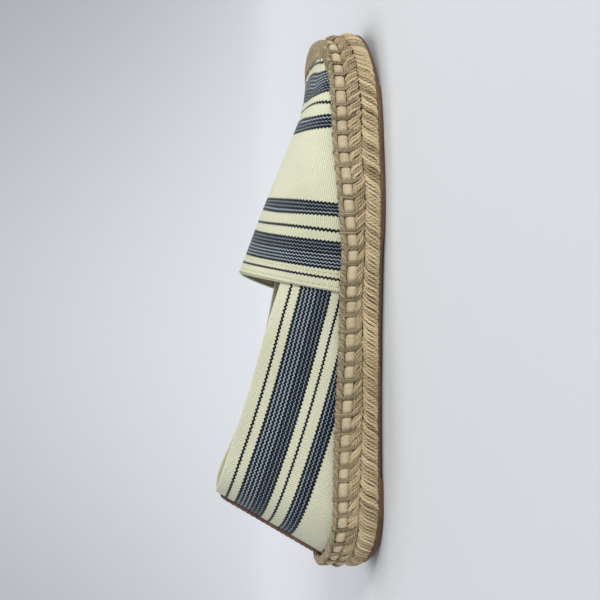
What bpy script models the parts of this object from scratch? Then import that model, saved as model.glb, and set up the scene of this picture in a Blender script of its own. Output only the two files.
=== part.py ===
"""A flat espadrille for the right foot, empty and standing on its sole.

Lengths are in metres. +Y points to the toe, +X to the little toe's side and +Z up. The origin is on the
floor under the middle of the shoe. A place along the shoe is a share of the sole's length, 0 at the heel.
"""

import math

import bmesh
import bpy
import numpy as np

MM = 0.001

# Sole
SOLE_LENGTH = 262 * MM
BALL_WIDTH = 89 * MM
HEEL_WIDTH = 65 * MM
TOE_SPRING = 5.0 * MM
HEEL_LIFT = 4.0 * MM
OUTSOLE_SHEET = 1.4 * MM
TREAD_THICKNESS = 1.0 * MM
OUTSOLE_INSET = 1.2 * MM
BRAID_ROW = 6.8 * MM
BRAID_BULGE = 1.9 * MM
BRAID_SEAM = 0.5 * MM
TAPE_HEIGHT = 3.9 * MM
TAPE_THICKNESS = 1.2 * MM
TAPE_INSET = 1.1 * MM
TOE_SETBACK = 5.0 * MM
CORD_HEIGHT = 1.9 * MM
CORD_WIDTH = 2.6 * MM
INSOLE_THICKNESS = 1.8 * MM
INSOLE_CLEARANCE = 1.5 * MM
INSOLE_BED = 0.5 * MM
INSOLE_TOE_GAP = 7.0 * MM

# Upper
WALL = 1.6 * MM
HEM_STEP = 0.9 * MM
INSTEP_HEIGHT = 62 * MM
HEEL_HEIGHT = 74 * MM
HEEL_TOP_WIDTH = 56 * MM
PATCH_WIDTH = 17 * MM
PATCH_THICKNESS = 1.1 * MM
PATCH_DROP = 1.5 * MM

# Touching pieces meet this far apart
GAP = 0.3 * MM

# Places along the sole, as shares of its length
HEEL_TREAD = (0.030, 0.175)
FOREFOOT_TREAD = (0.560, 0.850)
TREAD_RAMP = 0.060
SETBACK_FROM = 0.930
INSOLE_TAPER = 0.800
THROAT_SIDE = 0.488
THROAT_TOP = 0.538
RIDGE_FRONT = 0.885
RIDGE_STEP = 0.005

# The most of a vamp rib's rise that runs straight with the ridge's slope
MOST_RULED = 0.7

# The quarter takes up the throat's curve from this share of its way round from the heel
DRAWN_FROM = 0.55

# The heel's own width holds up to the first of these places and has no part from the second
HEEL_FIT = (0.25, 0.55)

# Shares of the length over which the outline rounds off, and how squarely
HEEL_ROUND = 0.13
HEEL_SQUARENESS = 2.15
TOE_ROUND = 0.22
TOE_SQUARENESS = 2.4

# Small edges, as shares of what they belong to: the outsole's lower edge in tread thicknesses inwards and
# in sheets upwards, the tape's corners in its own thickness, the insole's top edge in its thickness
OUTSOLE_EDGE_IN = 0.5
OUTSOLE_EDGE_UP = 0.4
TAPE_CORNER = 0.3
INSOLE_CORNER = 0.5

# How far round each row of braid bulges, on both sides of its middle
BRAID_LEAN = math.radians(80)

# How much of the hem's step the vamp's inner face takes up on its first rib
HEM_EASE = 0.5

# A line through the shoe's inside, from which the upper's faces look away: its way along the shoe as a share
# of each point's own, and its height in instep heights
INSIDE_WAY = 0.85
INSIDE_HEIGHT = 0.3

# Facets
TURN_PER_STATION = math.radians(4.6)
RIB_FACETS = 5
CORD_FACETS = 8
WALL_ROWS = 7
TOP_ROWS = 7
PATCH_COLUMNS = 9
STEP_SHARE = 0.0008


def table(names, *rows):
    """A table of sections, one row each, as a dictionary of its named columns."""
    return dict(zip(names.split(), np.array(rows, float).T))


# The sole's half width before its ends round off, and how far its middle line sways to the little toe's
# side, in ball widths
SOLE_OUTLINE = table(
    "along half sway",
    (0.00, 0.335, 0.000),
    (0.12, 0.362, 0.000),
    (0.20, 0.366, 0.001),
    (0.30, 0.362, 0.015),
    (0.40, 0.364, 0.037),
    (0.50, 0.391, 0.046),
    (0.60, 0.446, 0.036),
    (0.70, 0.488, 0.000),
    (0.78, 0.490, -0.024),
    (0.85, 0.480, -0.041),
    (0.90, 0.474, -0.052),
    (0.95, 0.476, -0.070),
    (1.00, 0.480, -0.098),
)
WIDEST_HEEL = 0.732

# How far the sheet lies off the floor plane: heel in heel lifts, toe in toe springs, above the treads
SOLE_LIFT = table(
    "along heel toe",
    (0.00, 1.00, 0.00),
    (0.04, 0.42, 0.00),
    (0.08, 0.10, 0.00),
    (0.11, 0.00, 0.00),
    (0.80, 0.00, 0.00),
    (0.87, 0.00, 0.09),
    (0.93, 0.00, 0.40),
    (1.00, 0.00, 1.00),
)

# Heights of the two rows of braid in braid rows, and the width of the edge cord in cord widths
SOLE_SIDE = table(
    "along lower upper cord",
    (0.00, 1.14, 0.83, 1.60),
    (0.07, 1.18, 0.80, 1.30),
    (0.14, 1.18, 0.79, 1.05),
    (0.21, 1.06, 0.79, 1.00),
    (0.28, 0.96, 0.73, 1.00),
    (0.35, 0.92, 0.62, 1.05),
    (0.42, 1.00, 0.46, 1.10),
    (0.48, 1.02, 0.42, 1.10),
    (0.55, 0.95, 0.43, 1.10),
    (0.62, 0.92, 0.74, 1.05),
    (0.68, 0.98, 0.86, 1.00),
    (0.75, 1.06, 0.97, 1.05),
    (0.85, 1.02, 1.01, 1.30),
    (0.93, 0.98, 0.98, 1.75),
    (1.00, 0.94, 0.94, 2.10),
)

# The vamp's highest line: its height in instep heights, and how far it lies from the sole's middle line
# towards the big toe, in ball widths
VAMP_RIDGE = table(
    "along height inward",
    (0.538, 1.000, 0.050),
    (0.572, 0.945, 0.046),
    (0.617, 0.874, 0.040),
    (0.660, 0.805, 0.032),
    (0.700, 0.737, 0.026),
    (0.746, 0.657, 0.020),
    (0.794, 0.576, 0.014),
    (0.830, 0.517, 0.012),
    (0.860, 0.476, 0.010),
    (0.885, 0.453, 0.010),
)

# How full the vamp's section is from the sole's edge to the ridge: 1 is a straight slope, 2 an ellipse
VAMP_FULLNESS = table(
    "along fullness",
    (0.48, 1.62),
    (0.62, 1.72),
    (0.75, 1.95),
    (0.90, 2.40),
    (1.00, 2.60),
)

# The collar's edge, from the heel round to the throat: its place along the sole, its height in heel
# heights, its half width in half widths of the heel's top, and how far the slack edge on the big toe's side
# hangs lower, in heel heights
COLLAR = table(
    "turn along height half drop",
    (0.00, 0.1400, 1.000, 0.000, 0.000),
    (0.10, 0.1425, 1.000, 0.255, 0.000),
    (0.20, 0.1510, 0.994, 0.490, 0.002),
    (0.30, 0.1660, 0.979, 0.670, 0.008),
    (0.40, 0.1890, 0.953, 0.795, 0.020),
    (0.50, 0.2230, 0.913, 0.870, 0.038),
    (0.60, 0.2680, 0.859, 0.915, 0.054),
    (0.70, 0.3220, 0.797, 0.935, 0.064),
    (0.80, 0.3830, 0.732, 0.935, 0.068),
    (0.90, 0.4450, 0.667, 0.915, 0.064),
    (1.00, 0.5050, 0.592, 0.880, 0.050),
)


def through(knots, values, at):
    """A smooth curve through a table's rows that doesn't swing past them (cubic, harmonic mean slopes)."""
    run = np.diff(knots)
    rise = np.diff(values) / run
    both = rise[:-1] * rise[1:]
    total = rise[:-1] + rise[1:]
    inner = np.where(both > 0, 2 * both / np.where(both > 0, total, 1), 0)
    slope = np.concatenate([rise[:1], inner, rise[-1:]])
    row = np.clip(np.searchsorted(knots, at, side="right") - 1, 0, len(run) - 1)
    part = (at - knots[row]) / run[row]
    ends = values[row] * (1 + 2 * part) * (1 - part) ** 2 + values[row + 1] * part**2 * (3 - 2 * part)
    bends = slope[row] * part * (1 - part) ** 2 - slope[row + 1] * part**2 * (1 - part)
    return ends + run[row] * bends


def look_up(rows, name, at, key="along"):
    """One column of a table at the given places."""
    return through(rows[key], rows[name], np.asarray(at, float))


def unit(vectors):
    return vectors / np.linalg.norm(vectors, axis=-1, keepdims=True)


def stations():
    """Places along the sole from heel to toe, closer at the ends, with two at each edge of a tread."""
    edges = [e + s * STEP_SHARE for e in (*HEEL_TREAD, FOREFOOT_TREAD[1]) for s in (-1, 1)]
    stops = np.arccos(1 - 2 * np.array(sorted([0, THROAT_SIDE, 1, *edges])))
    places = [0.0]
    for start, end in zip(stops[:-1], stops[1:]):
        count = max(1, math.ceil((end - start) / TURN_PER_STATION))
        turns = start + (end - start) * np.arange(1, count + 1) / count
        places.extend((1 - np.cos(turns)) / 2)
    return np.array(places)


STATIONS = stations()
LAST = len(STATIONS) - 1
# Round the whole outline: heel, little toe's side, toe, big toe's side and back
ROUND = np.concatenate([STATIONS, STATIONS[-2:0:-1]])
SIDE = np.where(np.arange(len(ROUND)) <= LAST, 1.0, -1.0)


def half_width(along):
    """Half the sole's width at a place, rounded off at the heel and the toe like two half ellipses."""
    heel_share = np.clip((HEEL_FIT[1] - along) / (HEEL_FIT[1] - HEEL_FIT[0]), 0, 1)
    heel_fit = 1 + heel_share * (HEEL_WIDTH / (WIDEST_HEEL * BALL_WIDTH) - 1)
    heel = np.clip((HEEL_ROUND - along) / HEEL_ROUND, 0, 1)
    toe = np.clip((along - 1 + TOE_ROUND) / TOE_ROUND, 0, 1)
    heel_end = (1 - heel**HEEL_SQUARENESS) ** (1 / HEEL_SQUARENESS)
    toe_end = (1 - toe**TOE_SQUARENESS) ** (1 / TOE_SQUARENESS)
    return look_up(SOLE_OUTLINE, "half", along) * BALL_WIDTH * heel_fit * heel_end * toe_end


def sway(along):
    """The middle line's own distance to the little toe's side, before the sole is centred."""
    return look_up(SOLE_OUTLINE, "sway", along) * BALL_WIDTH


def outline():
    """The sole's outline and its outward normals in plan, and how far it was moved to centre it."""
    x = sway(ROUND) + SIDE * half_width(ROUND)
    centre = (x.max() + x.min()) / 2
    points = np.stack([x - centre, (ROUND - 0.5) * SOLE_LENGTH], 1)
    ahead = np.roll(points, -1, 0) - np.roll(points, 1, 0)
    ahead /= np.linalg.norm(ahead, axis=1)[:, None]
    return points, np.stack([ahead[:, 1], -ahead[:, 0]], 1), centre


OUTLINE, OUTWARD, CENTRE = outline()


def middle_line(along):
    return sway(along) - CENTRE


def loop(inset, height):
    """One closed line round the sole, inset from the outline, at the given heights."""
    plan = OUTLINE - OUTWARD * np.broadcast_to(inset, len(ROUND))[:, None]
    return np.column_stack([plan, np.broadcast_to(height, len(ROUND))])


def sheet_bottom(along):
    """Height of the outsole sheet's underside, without its treads."""
    heel = look_up(SOLE_LIFT, "heel", along) * HEEL_LIFT
    toe = look_up(SOLE_LIFT, "toe", along) * TOE_SPRING
    return TREAD_THICKNESS + heel + toe


def tread(along):
    """How thick the tread is at a place: square at its visible edges, a ramp at the waist."""
    heel = (along > HEEL_TREAD[0]) & (along < HEEL_TREAD[1])
    rise = np.clip((along - FOREFOOT_TREAD[0]) / TREAD_RAMP, 0, 1) * (along < FOREFOOT_TREAD[1])
    return TREAD_THICKNESS * np.maximum(heel, rise)


def midsole_bottom(along):
    return sheet_bottom(along) + OUTSOLE_SHEET + GAP


def braid_rows(along):
    """Heights of the lower and the upper row of braid."""
    return (look_up(SOLE_SIDE, "lower", along) * BRAID_ROW, look_up(SOLE_SIDE, "upper", along) * BRAID_ROW)


def midsole_top(along):
    lower, upper = braid_rows(along)
    return midsole_bottom(along) + lower + BRAID_SEAM + upper + TAPE_HEIGHT


def cord_width(along):
    return look_up(SOLE_SIDE, "cord", along) * CORD_WIDTH


def tape_inset(along):
    """How far inside the outline the tape lies: round the toe it sets back, because the front leans back."""
    share = np.clip((along - SETBACK_FROM) / (1 - SETBACK_FROM), 0, 1)
    return TAPE_INSET + TOE_SETBACK * share * share * (3 - 2 * share)


def upper_inset(along):
    """How far inside the outline the quarter's outer face leaves the sole."""
    return tape_inset(along) + cord_width(along) + GAP + HEM_STEP


def build(name, points, faces, material):
    """An object from points and faces, its faces turned outwards."""
    mesh = bpy.data.meshes.new(name)
    mesh.from_pydata(points.tolist(), [], faces)
    shape = bmesh.new()
    shape.from_mesh(mesh)
    bmesh.ops.recalc_face_normals(shape, faces=shape.faces)
    shape.to_mesh(mesh)
    shape.free()
    mesh.shade_smooth()
    mesh.set_sharp_from_angle(angle=math.radians(40))
    mesh.materials.append(material)
    thing = bpy.data.objects.new(name, mesh)
    bpy.context.collection.objects.link(thing)
    return thing


def quads(low, high, closed=True):
    """Faces between two rows of point numbers."""
    count = len(low) if closed else len(low) - 1
    return [(low[i], low[(i + 1) % len(low)], high[(i + 1) % len(low)], high[i]) for i in range(count)]


def cover(row):
    """Faces across a closed line round the sole, from each point to the one on the other side."""
    count = len(row)
    faces = [(row[0], row[1], row[-1]), (row[LAST - 1], row[LAST], row[LAST + 1])]
    return faces + [(row[i], row[i + 1], row[count - i - 1], row[count - i]) for i in range(1, LAST - 1)]


def slab(name, lines, material):
    """A solid whose side passes through closed lines, from its bottom to its top."""
    count = len(ROUND)
    rows = [list(range(i * count, (i + 1) * count)) for i in range(len(lines))]
    faces = cover(rows[0]) + cover(rows[-1])
    for low, high in zip(rows[:-1], rows[1:]):
        faces += quads(low, high)
    return build(name, np.concatenate(lines), faces, material)


def ring(name, lines, material):
    """A closed band round the sole, its section passing through closed lines and back to the first."""
    count = len(ROUND)
    rows = [list(range(i * count, (i + 1) * count)) for i in range(len(lines))]
    faces = []
    for low, high in zip(rows, rows[1:] + rows[:1]):
        faces += quads(low, high)
    return build(name, np.concatenate(lines), faces, material)


def material(name, colour, roughness):
    made = bpy.data.materials.new(name)
    made.use_nodes = True
    shader = made.node_tree.nodes["Principled BSDF"]
    shader.inputs["Base Color"].default_value = (*colour, 1)
    shader.inputs["Roughness"].default_value = roughness
    shader.inputs["Metallic"].default_value = 0.0
    return made


def make_outsole():
    """Gum rubber sheet with a heel tread and a forefoot tread, a little inside the braid."""
    rubber = material("gum_rubber", (0.16, 0.075, 0.032), 0.55)
    under = sheet_bottom(ROUND) - tread(ROUND)
    top = sheet_bottom(ROUND) + OUTSOLE_SHEET
    lines = [
        loop(OUTSOLE_INSET + OUTSOLE_EDGE_IN * TREAD_THICKNESS, under),
        loop(OUTSOLE_INSET, under + OUTSOLE_EDGE_UP * OUTSOLE_SHEET),
        loop(OUTSOLE_INSET, top),
    ]
    return slab("outsole", lines, rubber)


def braid_row(bottom, height):
    """Lines over one bulging row of braid, from its lower valley to its upper one."""
    lean = np.linspace(-BRAID_LEAN, BRAID_LEAN, RIB_FACETS + 1)
    return [loop(BRAID_BULGE * (1 - np.cos(a)), bottom + height * (1 + np.sin(a)) / 2) for a in lean]


def make_midsole():
    """Pressed jute: two bulging rows with a seam between them, then a seat for the tape."""
    jute = material("jute", (0.45, 0.33, 0.19), 0.95)
    bottom = midsole_bottom(ROUND)
    lower, upper = braid_rows(ROUND)
    seat = tape_inset(ROUND) + TAPE_THICKNESS + GAP
    tape_foot = bottom + lower + BRAID_SEAM + upper
    lines = [loop(OUTSOLE_INSET + BRAID_BULGE, bottom)]
    lines += braid_row(bottom, lower)
    lines += braid_row(bottom + lower + BRAID_SEAM, upper)
    lines += [loop(seat, tape_foot), loop(seat, midsole_top(ROUND))]
    return slab("midsole", lines, jute)


def make_foxing_tape():
    """Cotton tape laid flat against the midsole's top edge, a little proud in its middle."""
    cotton = material("beige_cotton_tape", (0.58, 0.48, 0.33), 0.9)
    top = midsole_top(ROUND)
    foot = top - TAPE_HEIGHT + GAP
    corner = TAPE_CORNER * TAPE_THICKNESS
    outer = tape_inset(ROUND)
    lines = [
        loop(outer + TAPE_THICKNESS, foot),
        loop(outer + corner, foot),
        loop(outer, foot + corner),
        loop(outer, top - corner),
        loop(outer + corner, top),
        loop(outer + TAPE_THICKNESS, top),
    ]
    return ring("foxing_tape", lines, cotton)


def make_edge_cord():
    """Jute cord along the sole's edge, flattened wider at the toe and the heel."""
    jute = material("jute_cord", (0.43, 0.32, 0.19), 0.95)
    width = cord_width(ROUND)
    middle = tape_inset(ROUND) + width / 2
    lift = midsole_top(ROUND) + GAP + CORD_HEIGHT / 2
    turns = np.arange(CORD_FACETS) * 2 * math.pi / CORD_FACETS + math.pi / CORD_FACETS
    reach = 1 / math.cos(math.pi / CORD_FACETS)
    lines = [
        loop(middle + width / 2 * math.cos(a) * reach, lift + CORD_HEIGHT / 2 * math.sin(a) * reach)
        for a in turns
    ]
    return ring("edge_cord", lines, jute)


def make_insole():
    """Thin cloth-covered sock inside the upper, on the jute."""
    cloth = material("insole_cloth", (0.55, 0.49, 0.36), 0.9)
    front = np.clip((ROUND - INSOLE_TAPER) / (1 - INSOLE_TAPER), 0, 1)
    edge = upper_inset(ROUND) + WALL + INSOLE_CLEARANCE + INSOLE_TOE_GAP * front
    place = loop(edge, 0)[:, 1] / SOLE_LENGTH + 0.5
    bottom = midsole_top(place) + INSOLE_BED
    top = bottom + INSOLE_THICKNESS
    corner = INSOLE_CORNER * INSOLE_THICKNESS
    lines = [loop(edge, bottom), loop(edge, top - corner), loop(edge + corner, top)]
    return slab("insole", lines, cloth)


def ridge_point(at):
    """A point of the vamp's highest line."""
    x = middle_line(at) - look_up(VAMP_RIDGE, "inward", at) * BALL_WIDTH
    return np.array([x, (at - 0.5) * SOLE_LENGTH, look_up(VAMP_RIDGE, "height", at) * INSTEP_HEIGHT])


def vamp_rib(along, foot, outward):
    """Points from the sole's edge up to the vamp's ridge: a quarter of a rounded section.

    The part of the way that is square to the sole's edge follows the section's width, and the rest its
    height, so both sides of the vamp run smoothly into each other on the ridge. Rows up to WALL_ROWS
    reach the height at which the quarter's edge meets the throat.
    """
    way = (along - THROAT_SIDE) / (1 - THROAT_SIDE)
    at = THROAT_TOP + (RIDGE_FRONT - THROAT_TOP) * way
    ridge = ridge_point(at)
    uphill = unit(ridge_point(at - RIDGE_STEP) - ridge_point(at))
    power = 2 / look_up(VAMP_FULLNESS, "fullness", along)
    throat_foot = midsole_top(THROAT_SIDE) + GAP
    meet = (COLLAR["height"][-1] * HEEL_HEIGHT - throat_foot) / (INSTEP_HEIGHT - throat_foot)
    low = math.asin(meet ** (VAMP_FULLNESS["fullness"][0] / 2))
    turn = np.concatenate(
        [np.linspace(0, low, WALL_ROWS + 1), np.linspace(low, math.pi / 2, TOP_ROWS + 1)[1:]]
    )
    across = 1 - np.cos(turn) ** power
    across[-1] = 1
    up = np.sin(turn) ** power
    inward = -outward
    square = inward * ((ridge[:2] - foot[:2]) @ inward)
    aside = ridge[:2] - foot[:2] - square
    rise = ridge[2] - foot[2]
    slope = min(square[1] * uphill[2] / uphill[1], MOST_RULED * rise)
    plan = foot[:2] + square * across[:, None] + aside * up[:, None]
    return np.column_stack([plan, foot[2] + slope * across + (rise - slope) * up])


def collar_point(turn, side):
    """A point of the collar's edge, before it is drawn to the throat."""
    at = {name: float(look_up(COLLAR, name, turn, "turn")) for name in ("along", "height", "half", "drop")}
    foot_at = (1 - math.cos(turn * math.acos(1 - 2 * THROAT_SIDE))) / 2
    x = middle_line(foot_at) + side * at["half"] * HEEL_TOP_WIDTH / 2
    height = at["height"] - (at["drop"] if side < 0 else 0)
    return np.array([x, (at["along"] - 0.5) * SOLE_LENGTH, height * HEEL_HEIGHT])


def quarter_rib(along, side, foot, throat_rib, throat_foot):
    """Points from the sole's edge up to the collar. Near the throat it takes up the vamp's curve."""
    turn = math.acos(1 - 2 * along) / math.acos(1 - 2 * THROAT_SIDE)
    edge = throat_rib[WALL_ROWS]
    top = collar_point(turn, side)
    end = collar_point(1.0, side)
    near = np.clip((turn - DRAWN_FROM) / (1 - DRAWN_FROM), 0, 1) ** 2
    top = top + (edge - end) * near
    share = np.linspace(0, 1, WALL_ROWS + 1)[:, None]
    bend = throat_rib[: WALL_ROWS + 1] - (throat_foot + (edge - throat_foot) * share)
    return foot + (top - foot) * share + bend * near


def upper_ribs():
    """The upper's middle form: for each place round the sole the vamp's rib, the quarter's rib or both."""
    feet = loop(upper_inset(ROUND), midsole_top(ROUND) + GAP)
    throat = int(np.argmin(abs(STATIONS - THROAT_SIDE)))
    throats = {1: throat, -1: len(ROUND) - throat}
    vamp = {i: vamp_rib(ROUND[i], feet[i], OUTWARD[i]) for i in range(throats[1], throats[-1] + 1)}
    quarter = {}
    for i in [*range(throats[-1], len(ROUND)), *range(throats[1] + 1)]:
        side = -1 if i >= throats[-1] else 1
        at = throats[side]
        quarter[i] = quarter_rib(ROUND[i], side, feet[i], vamp[at], feet[at])
    return vamp, quarter


def smooth_normals(points, has_ridge):
    """Normals of a grid of ribs that point away from the shoe's inside."""
    normal = np.cross(np.gradient(points, axis=0), np.gradient(points, axis=1))
    if has_ridge:
        # Both halves of the vamp meet on the ridge, where the normal follows its slope
        half = len(points) // 2
        slope = unit(np.gradient(points[: half + 1, -1], axis=0))
        ridge = np.array([0, 0, 1]) - slope * slope[:, 2:]
        normal[: half + 1, -1] = ridge
        normal[half:, -1] = ridge[::-1]
    normal = unit(normal)
    inside = np.array([0, INSIDE_WAY, 0]) * points + np.array([0, 0, INSIDE_HEIGHT * INSTEP_HEIGHT])
    turn = np.sign((normal * (points - inside)).sum(axis=2, keepdims=True))
    return normal * turn


def make_upper():
    """Canvas vamp and quarter as one hollow piece, open at the collar and underneath.

    The vamp's hem lies over the quarter, so its outer face stands a step further out.
    """
    canvas = material("striped_canvas", (0.78, 0.75, 0.58), 0.9)
    vamp, quarter = upper_ribs()
    vamp_at = sorted(vamp)
    quarter_at = [*range(vamp_at[-1], len(ROUND)), *range(vamp_at[0] + 1)]
    vamp_points = np.array([vamp[i] for i in vamp_at])
    quarter_points = np.array([quarter[i] for i in quarter_at])
    vamp_normal = smooth_normals(vamp_points, True)
    quarter_normal = smooth_normals(quarter_points, False)
    # The hem and the quarter under it share their normals, so that the step has one height
    for q, v in ((0, -1), (-1, 0)):
        shared = unit(vamp_normal[v, : WALL_ROWS + 1] + quarter_normal[q])
        vamp_normal[v, : WALL_ROWS + 1] = quarter_normal[q] = shared
    for normal in (vamp_normal, quarter_normal):
        # The foot of the wall is cut level
        normal[:, 0] = unit(normal[:, 0] * np.array([1, 1, 0]))

    inward = np.full(len(vamp_at), WALL - HEM_STEP)
    inward[[0, -1]] = WALL
    inward[[1, -2]] = WALL - HEM_EASE * HEM_STEP
    vamp_out = vamp_points + vamp_normal * HEM_STEP
    vamp_in = vamp_points - vamp_normal * inward[:, None, None]
    quarter_out = quarter_points
    quarter_in = quarter_points - quarter_normal * WALL

    points, number = [], {}

    def add(key, point):
        number[key] = len(points)
        points.append(point)

    half = len(vamp_at) // 2
    for name, grid in (("out", vamp_out), ("in", vamp_in)):
        for i in range(len(vamp_at)):
            for j in range(WALL_ROWS + TOP_ROWS + 1):
                twin = len(vamp_at) - 1 - i
                on_ridge = j == WALL_ROWS + TOP_ROWS
                if on_ridge and i > half:
                    number[("vamp", name, i, j)] = number[("vamp", name, twin, j)]
                    continue
                point = grid[i, j]
                if on_ridge:
                    point = (grid[i, j] + grid[twin, j]) / 2
                add(("vamp", name, i, j), point)
    ends = {0: len(vamp_at) - 1, len(quarter_at) - 1: 0}
    for name, grid in (("out", quarter_out), ("in", quarter_in)):
        for i in range(len(quarter_at)):
            for j in range(WALL_ROWS + 1):
                if name == "in" and i in ends:
                    number[("quarter", name, i, j)] = number[("vamp", name, ends[i], j)]
                    continue
                add(("quarter", name, i, j), grid[i, j])

    faces = []

    def face(*keys):
        corners = []
        for key in keys:
            if number[key] not in corners:
                corners.append(number[key])
        if len(corners) > 2:
            faces.append(tuple(corners))

    def cell(part, name, i, j):
        face((part, name, i, j), (part, name, i + 1, j), (part, name, i + 1, j + 1), (part, name, i, j + 1))

    def rim(part, i, j):
        face((part, "out", i, j), (part, "out", i + 1, j), (part, "in", i + 1, j), (part, "in", i, j))

    top = WALL_ROWS + TOP_ROWS
    for part, ribs, rows in (("vamp", len(vamp_at), top), ("quarter", len(quarter_at), WALL_ROWS)):
        for i in range(ribs - 1):
            for j in range(rows):
                cell(part, "out", i, j)
                cell(part, "in", i, j)
            rim(part, i, 0)
    for i in range(len(quarter_at) - 1):
        rim("quarter", i, WALL_ROWS)
    for q, v in ends.items():
        for j in range(top):
            # Up to the collar the hem's step ends on the quarter, above it on the vamp's inner face
            low = ("quarter", "out", q) if j < WALL_ROWS else ("vamp", "in", v)
            face(("vamp", "out", v, j), ("vamp", "out", v, j + 1), (*low, j + 1), (*low, j))
        for j in (0, WALL_ROWS):
            face(("vamp", "out", v, j), ("quarter", "out", q, j), ("vamp", "in", v, j))
    return build("upper", np.array(points), faces, canvas)


def make_heel_patch():
    """Leather strip down the back of the heel, outside the quarter, from the collar to the edge cord."""
    leather = material("heel_leather", (0.34, 0.16, 0.10), 0.6)
    _, quarter = upper_ribs()
    order = sorted(quarter, key=lambda i: i if i <= LAST else i - len(ROUND))
    grid = np.array([quarter[i] for i in order])
    normal = smooth_normals(grid, False)
    foot = midsole_top(0.0) + GAP + CORD_HEIGHT + GAP
    rows = []
    for points, away in zip(np.swapaxes(grid, 0, 1), np.swapaxes(normal, 0, 1)):
        steps = np.concatenate([[0], np.cumsum(np.linalg.norm(np.diff(points, axis=0), axis=1))])
        steps -= np.interp(0, points[:, 0], steps)
        rows.append((steps, points, away))
    across = np.linspace(-PATCH_WIDTH / 2, PATCH_WIDTH / 2, PATCH_COLUMNS)

    def spread(values, steps):
        return np.column_stack([np.interp(across, steps, values[:, k]) for k in range(3)])

    middle = np.array([spread(points, steps) for steps, points, _ in rows])
    away = np.array([spread(out, steps) for steps, _, out in rows])
    away = unit(away)
    heights = middle[:, :, 2]
    top = heights[-1].min() - PATCH_DROP
    levels = np.linspace(foot, top, WALL_ROWS + 1)
    inner, outer = [], []
    for level in levels:
        line, out = [], []
        for j in range(len(across)):
            line.append([np.interp(level, heights[:, j], middle[:, j, k]) for k in range(3)])
            out.append([np.interp(level, heights[:, j], away[:, j, k]) for k in range(3)])
        line, out = np.array(line), np.array(out)
        inner.append(line + out * GAP)
        outer.append(line + out * (GAP + PATCH_THICKNESS))
    inner, outer = np.array(inner), np.array(outer)
    ups, wides = inner.shape[:2]
    count = ups * wides
    points = np.concatenate([inner.reshape(-1, 3), outer.reshape(-1, 3)])
    faces = []
    for base in (0, count):
        for i in range(ups - 1):
            for j in range(wides - 1):
                at = base + i * wides + j
                faces.append((at, at + 1, at + wides + 1, at + wides))
    rim = [j for j in range(wides)] + [i * wides + wides - 1 for i in range(1, ups)]
    rim += [count - 2 - j for j in range(wides - 1)] + [i * wides for i in range(ups - 2, 0, -1)]
    faces += quads(rim, [i + count for i in rim])
    return build("heel_patch", points, faces, leather)


def main():
    for thing in list(bpy.data.objects):
        bpy.data.objects.remove(thing, do_unlink=True)
    make_outsole()
    make_midsole()
    make_foxing_tape()
    make_edge_cord()
    make_insole()
    make_upper()
    make_heel_patch()


main()
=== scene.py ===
import math

import bpy
import numpy as np
from mathutils import Matrix, Vector


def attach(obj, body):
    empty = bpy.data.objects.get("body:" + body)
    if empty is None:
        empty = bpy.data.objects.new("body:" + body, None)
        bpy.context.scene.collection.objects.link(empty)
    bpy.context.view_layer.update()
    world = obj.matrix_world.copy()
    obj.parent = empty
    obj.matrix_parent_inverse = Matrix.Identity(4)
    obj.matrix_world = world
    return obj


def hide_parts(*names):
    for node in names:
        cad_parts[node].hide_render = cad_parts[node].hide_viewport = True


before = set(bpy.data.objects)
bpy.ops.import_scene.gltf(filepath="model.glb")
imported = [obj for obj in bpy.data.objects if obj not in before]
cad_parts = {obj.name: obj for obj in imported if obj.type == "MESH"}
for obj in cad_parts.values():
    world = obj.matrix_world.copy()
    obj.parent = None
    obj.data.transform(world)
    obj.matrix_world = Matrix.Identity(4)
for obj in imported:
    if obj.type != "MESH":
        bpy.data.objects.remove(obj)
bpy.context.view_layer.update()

# the shoe's own sizes, all in mm
shoe = {
    "length": 262, "ballWidth": 89, "heelWidth": 65, "toeSpring": 5.0, "heelLift": 4.0,
    "sheet": 1.4, "tread": 1.0, "outsoleInset": 1.2,
    "braidRow": 6.8, "braidBulge": 1.9, "braidSeam": 0.5,
    "tapeHeight": 3.9, "tapeThickness": 1.2, "tapeInset": 1.1, "toeSetback": 5.0, "setbackFrom": 0.930,
    "cordHeight": 1.9, "cordWidth": 2.6,
    "insoleThickness": 1.8, "insoleClearance": 1.5, "insoleToeGap": 7.0, "insoleTaper": 0.8,
    "insoleBed": 0.5,
    "wall": 1.6, "hemStep": 0.9, "instepHeight": 62, "heelHeight": 74, "heelTopWidth": 56,
    "patchWidth": 17, "patchThickness": 1.1, "patchDrop": 1.5, "gap": 0.3,
    "heelTread": (0.030, 0.175), "forefootTread": (0.560, 0.850), "treadRamp": 0.060,
    "throatSide": 0.488, "throatTop": 0.538, "ridgeFront": 0.885, "ridgeStep": 0.005,
    "mostRuled": 0.7, "drawnFrom": 0.55,
    "heelRound": 0.13, "heelSquareness": 2.15, "toeRound": 0.22, "toeSquareness": 2.4, "widestHeel": 0.732,
    "heelShareEnd": 0.55, "heelShareOver": 0.30, "stitchPitch": 7.35,
}

# place along the sole, half width and sway of the middle line in ball widths
soleOutline = np.array([
    (0.00, 0.335, 0.000), (0.12, 0.362, 0.000), (0.20, 0.366, 0.001), (0.30, 0.362, 0.015),
    (0.40, 0.364, 0.037), (0.50, 0.391, 0.046), (0.60, 0.446, 0.036), (0.70, 0.488, 0.000),
    (0.78, 0.490, -0.024), (0.85, 0.480, -0.041), (0.90, 0.474, -0.052), (0.95, 0.476, -0.070),
    (1.00, 0.480, -0.098),
]).T
# place along the sole, heel lift and toe spring as shares
soleLift = np.array([
    (0.00, 1.00, 0.00), (0.04, 0.42, 0.00), (0.08, 0.10, 0.00), (0.11, 0.00, 0.00), (0.80, 0.00, 0.00),
    (0.87, 0.00, 0.09), (0.93, 0.00, 0.40), (1.00, 0.00, 1.00),
]).T
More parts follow.
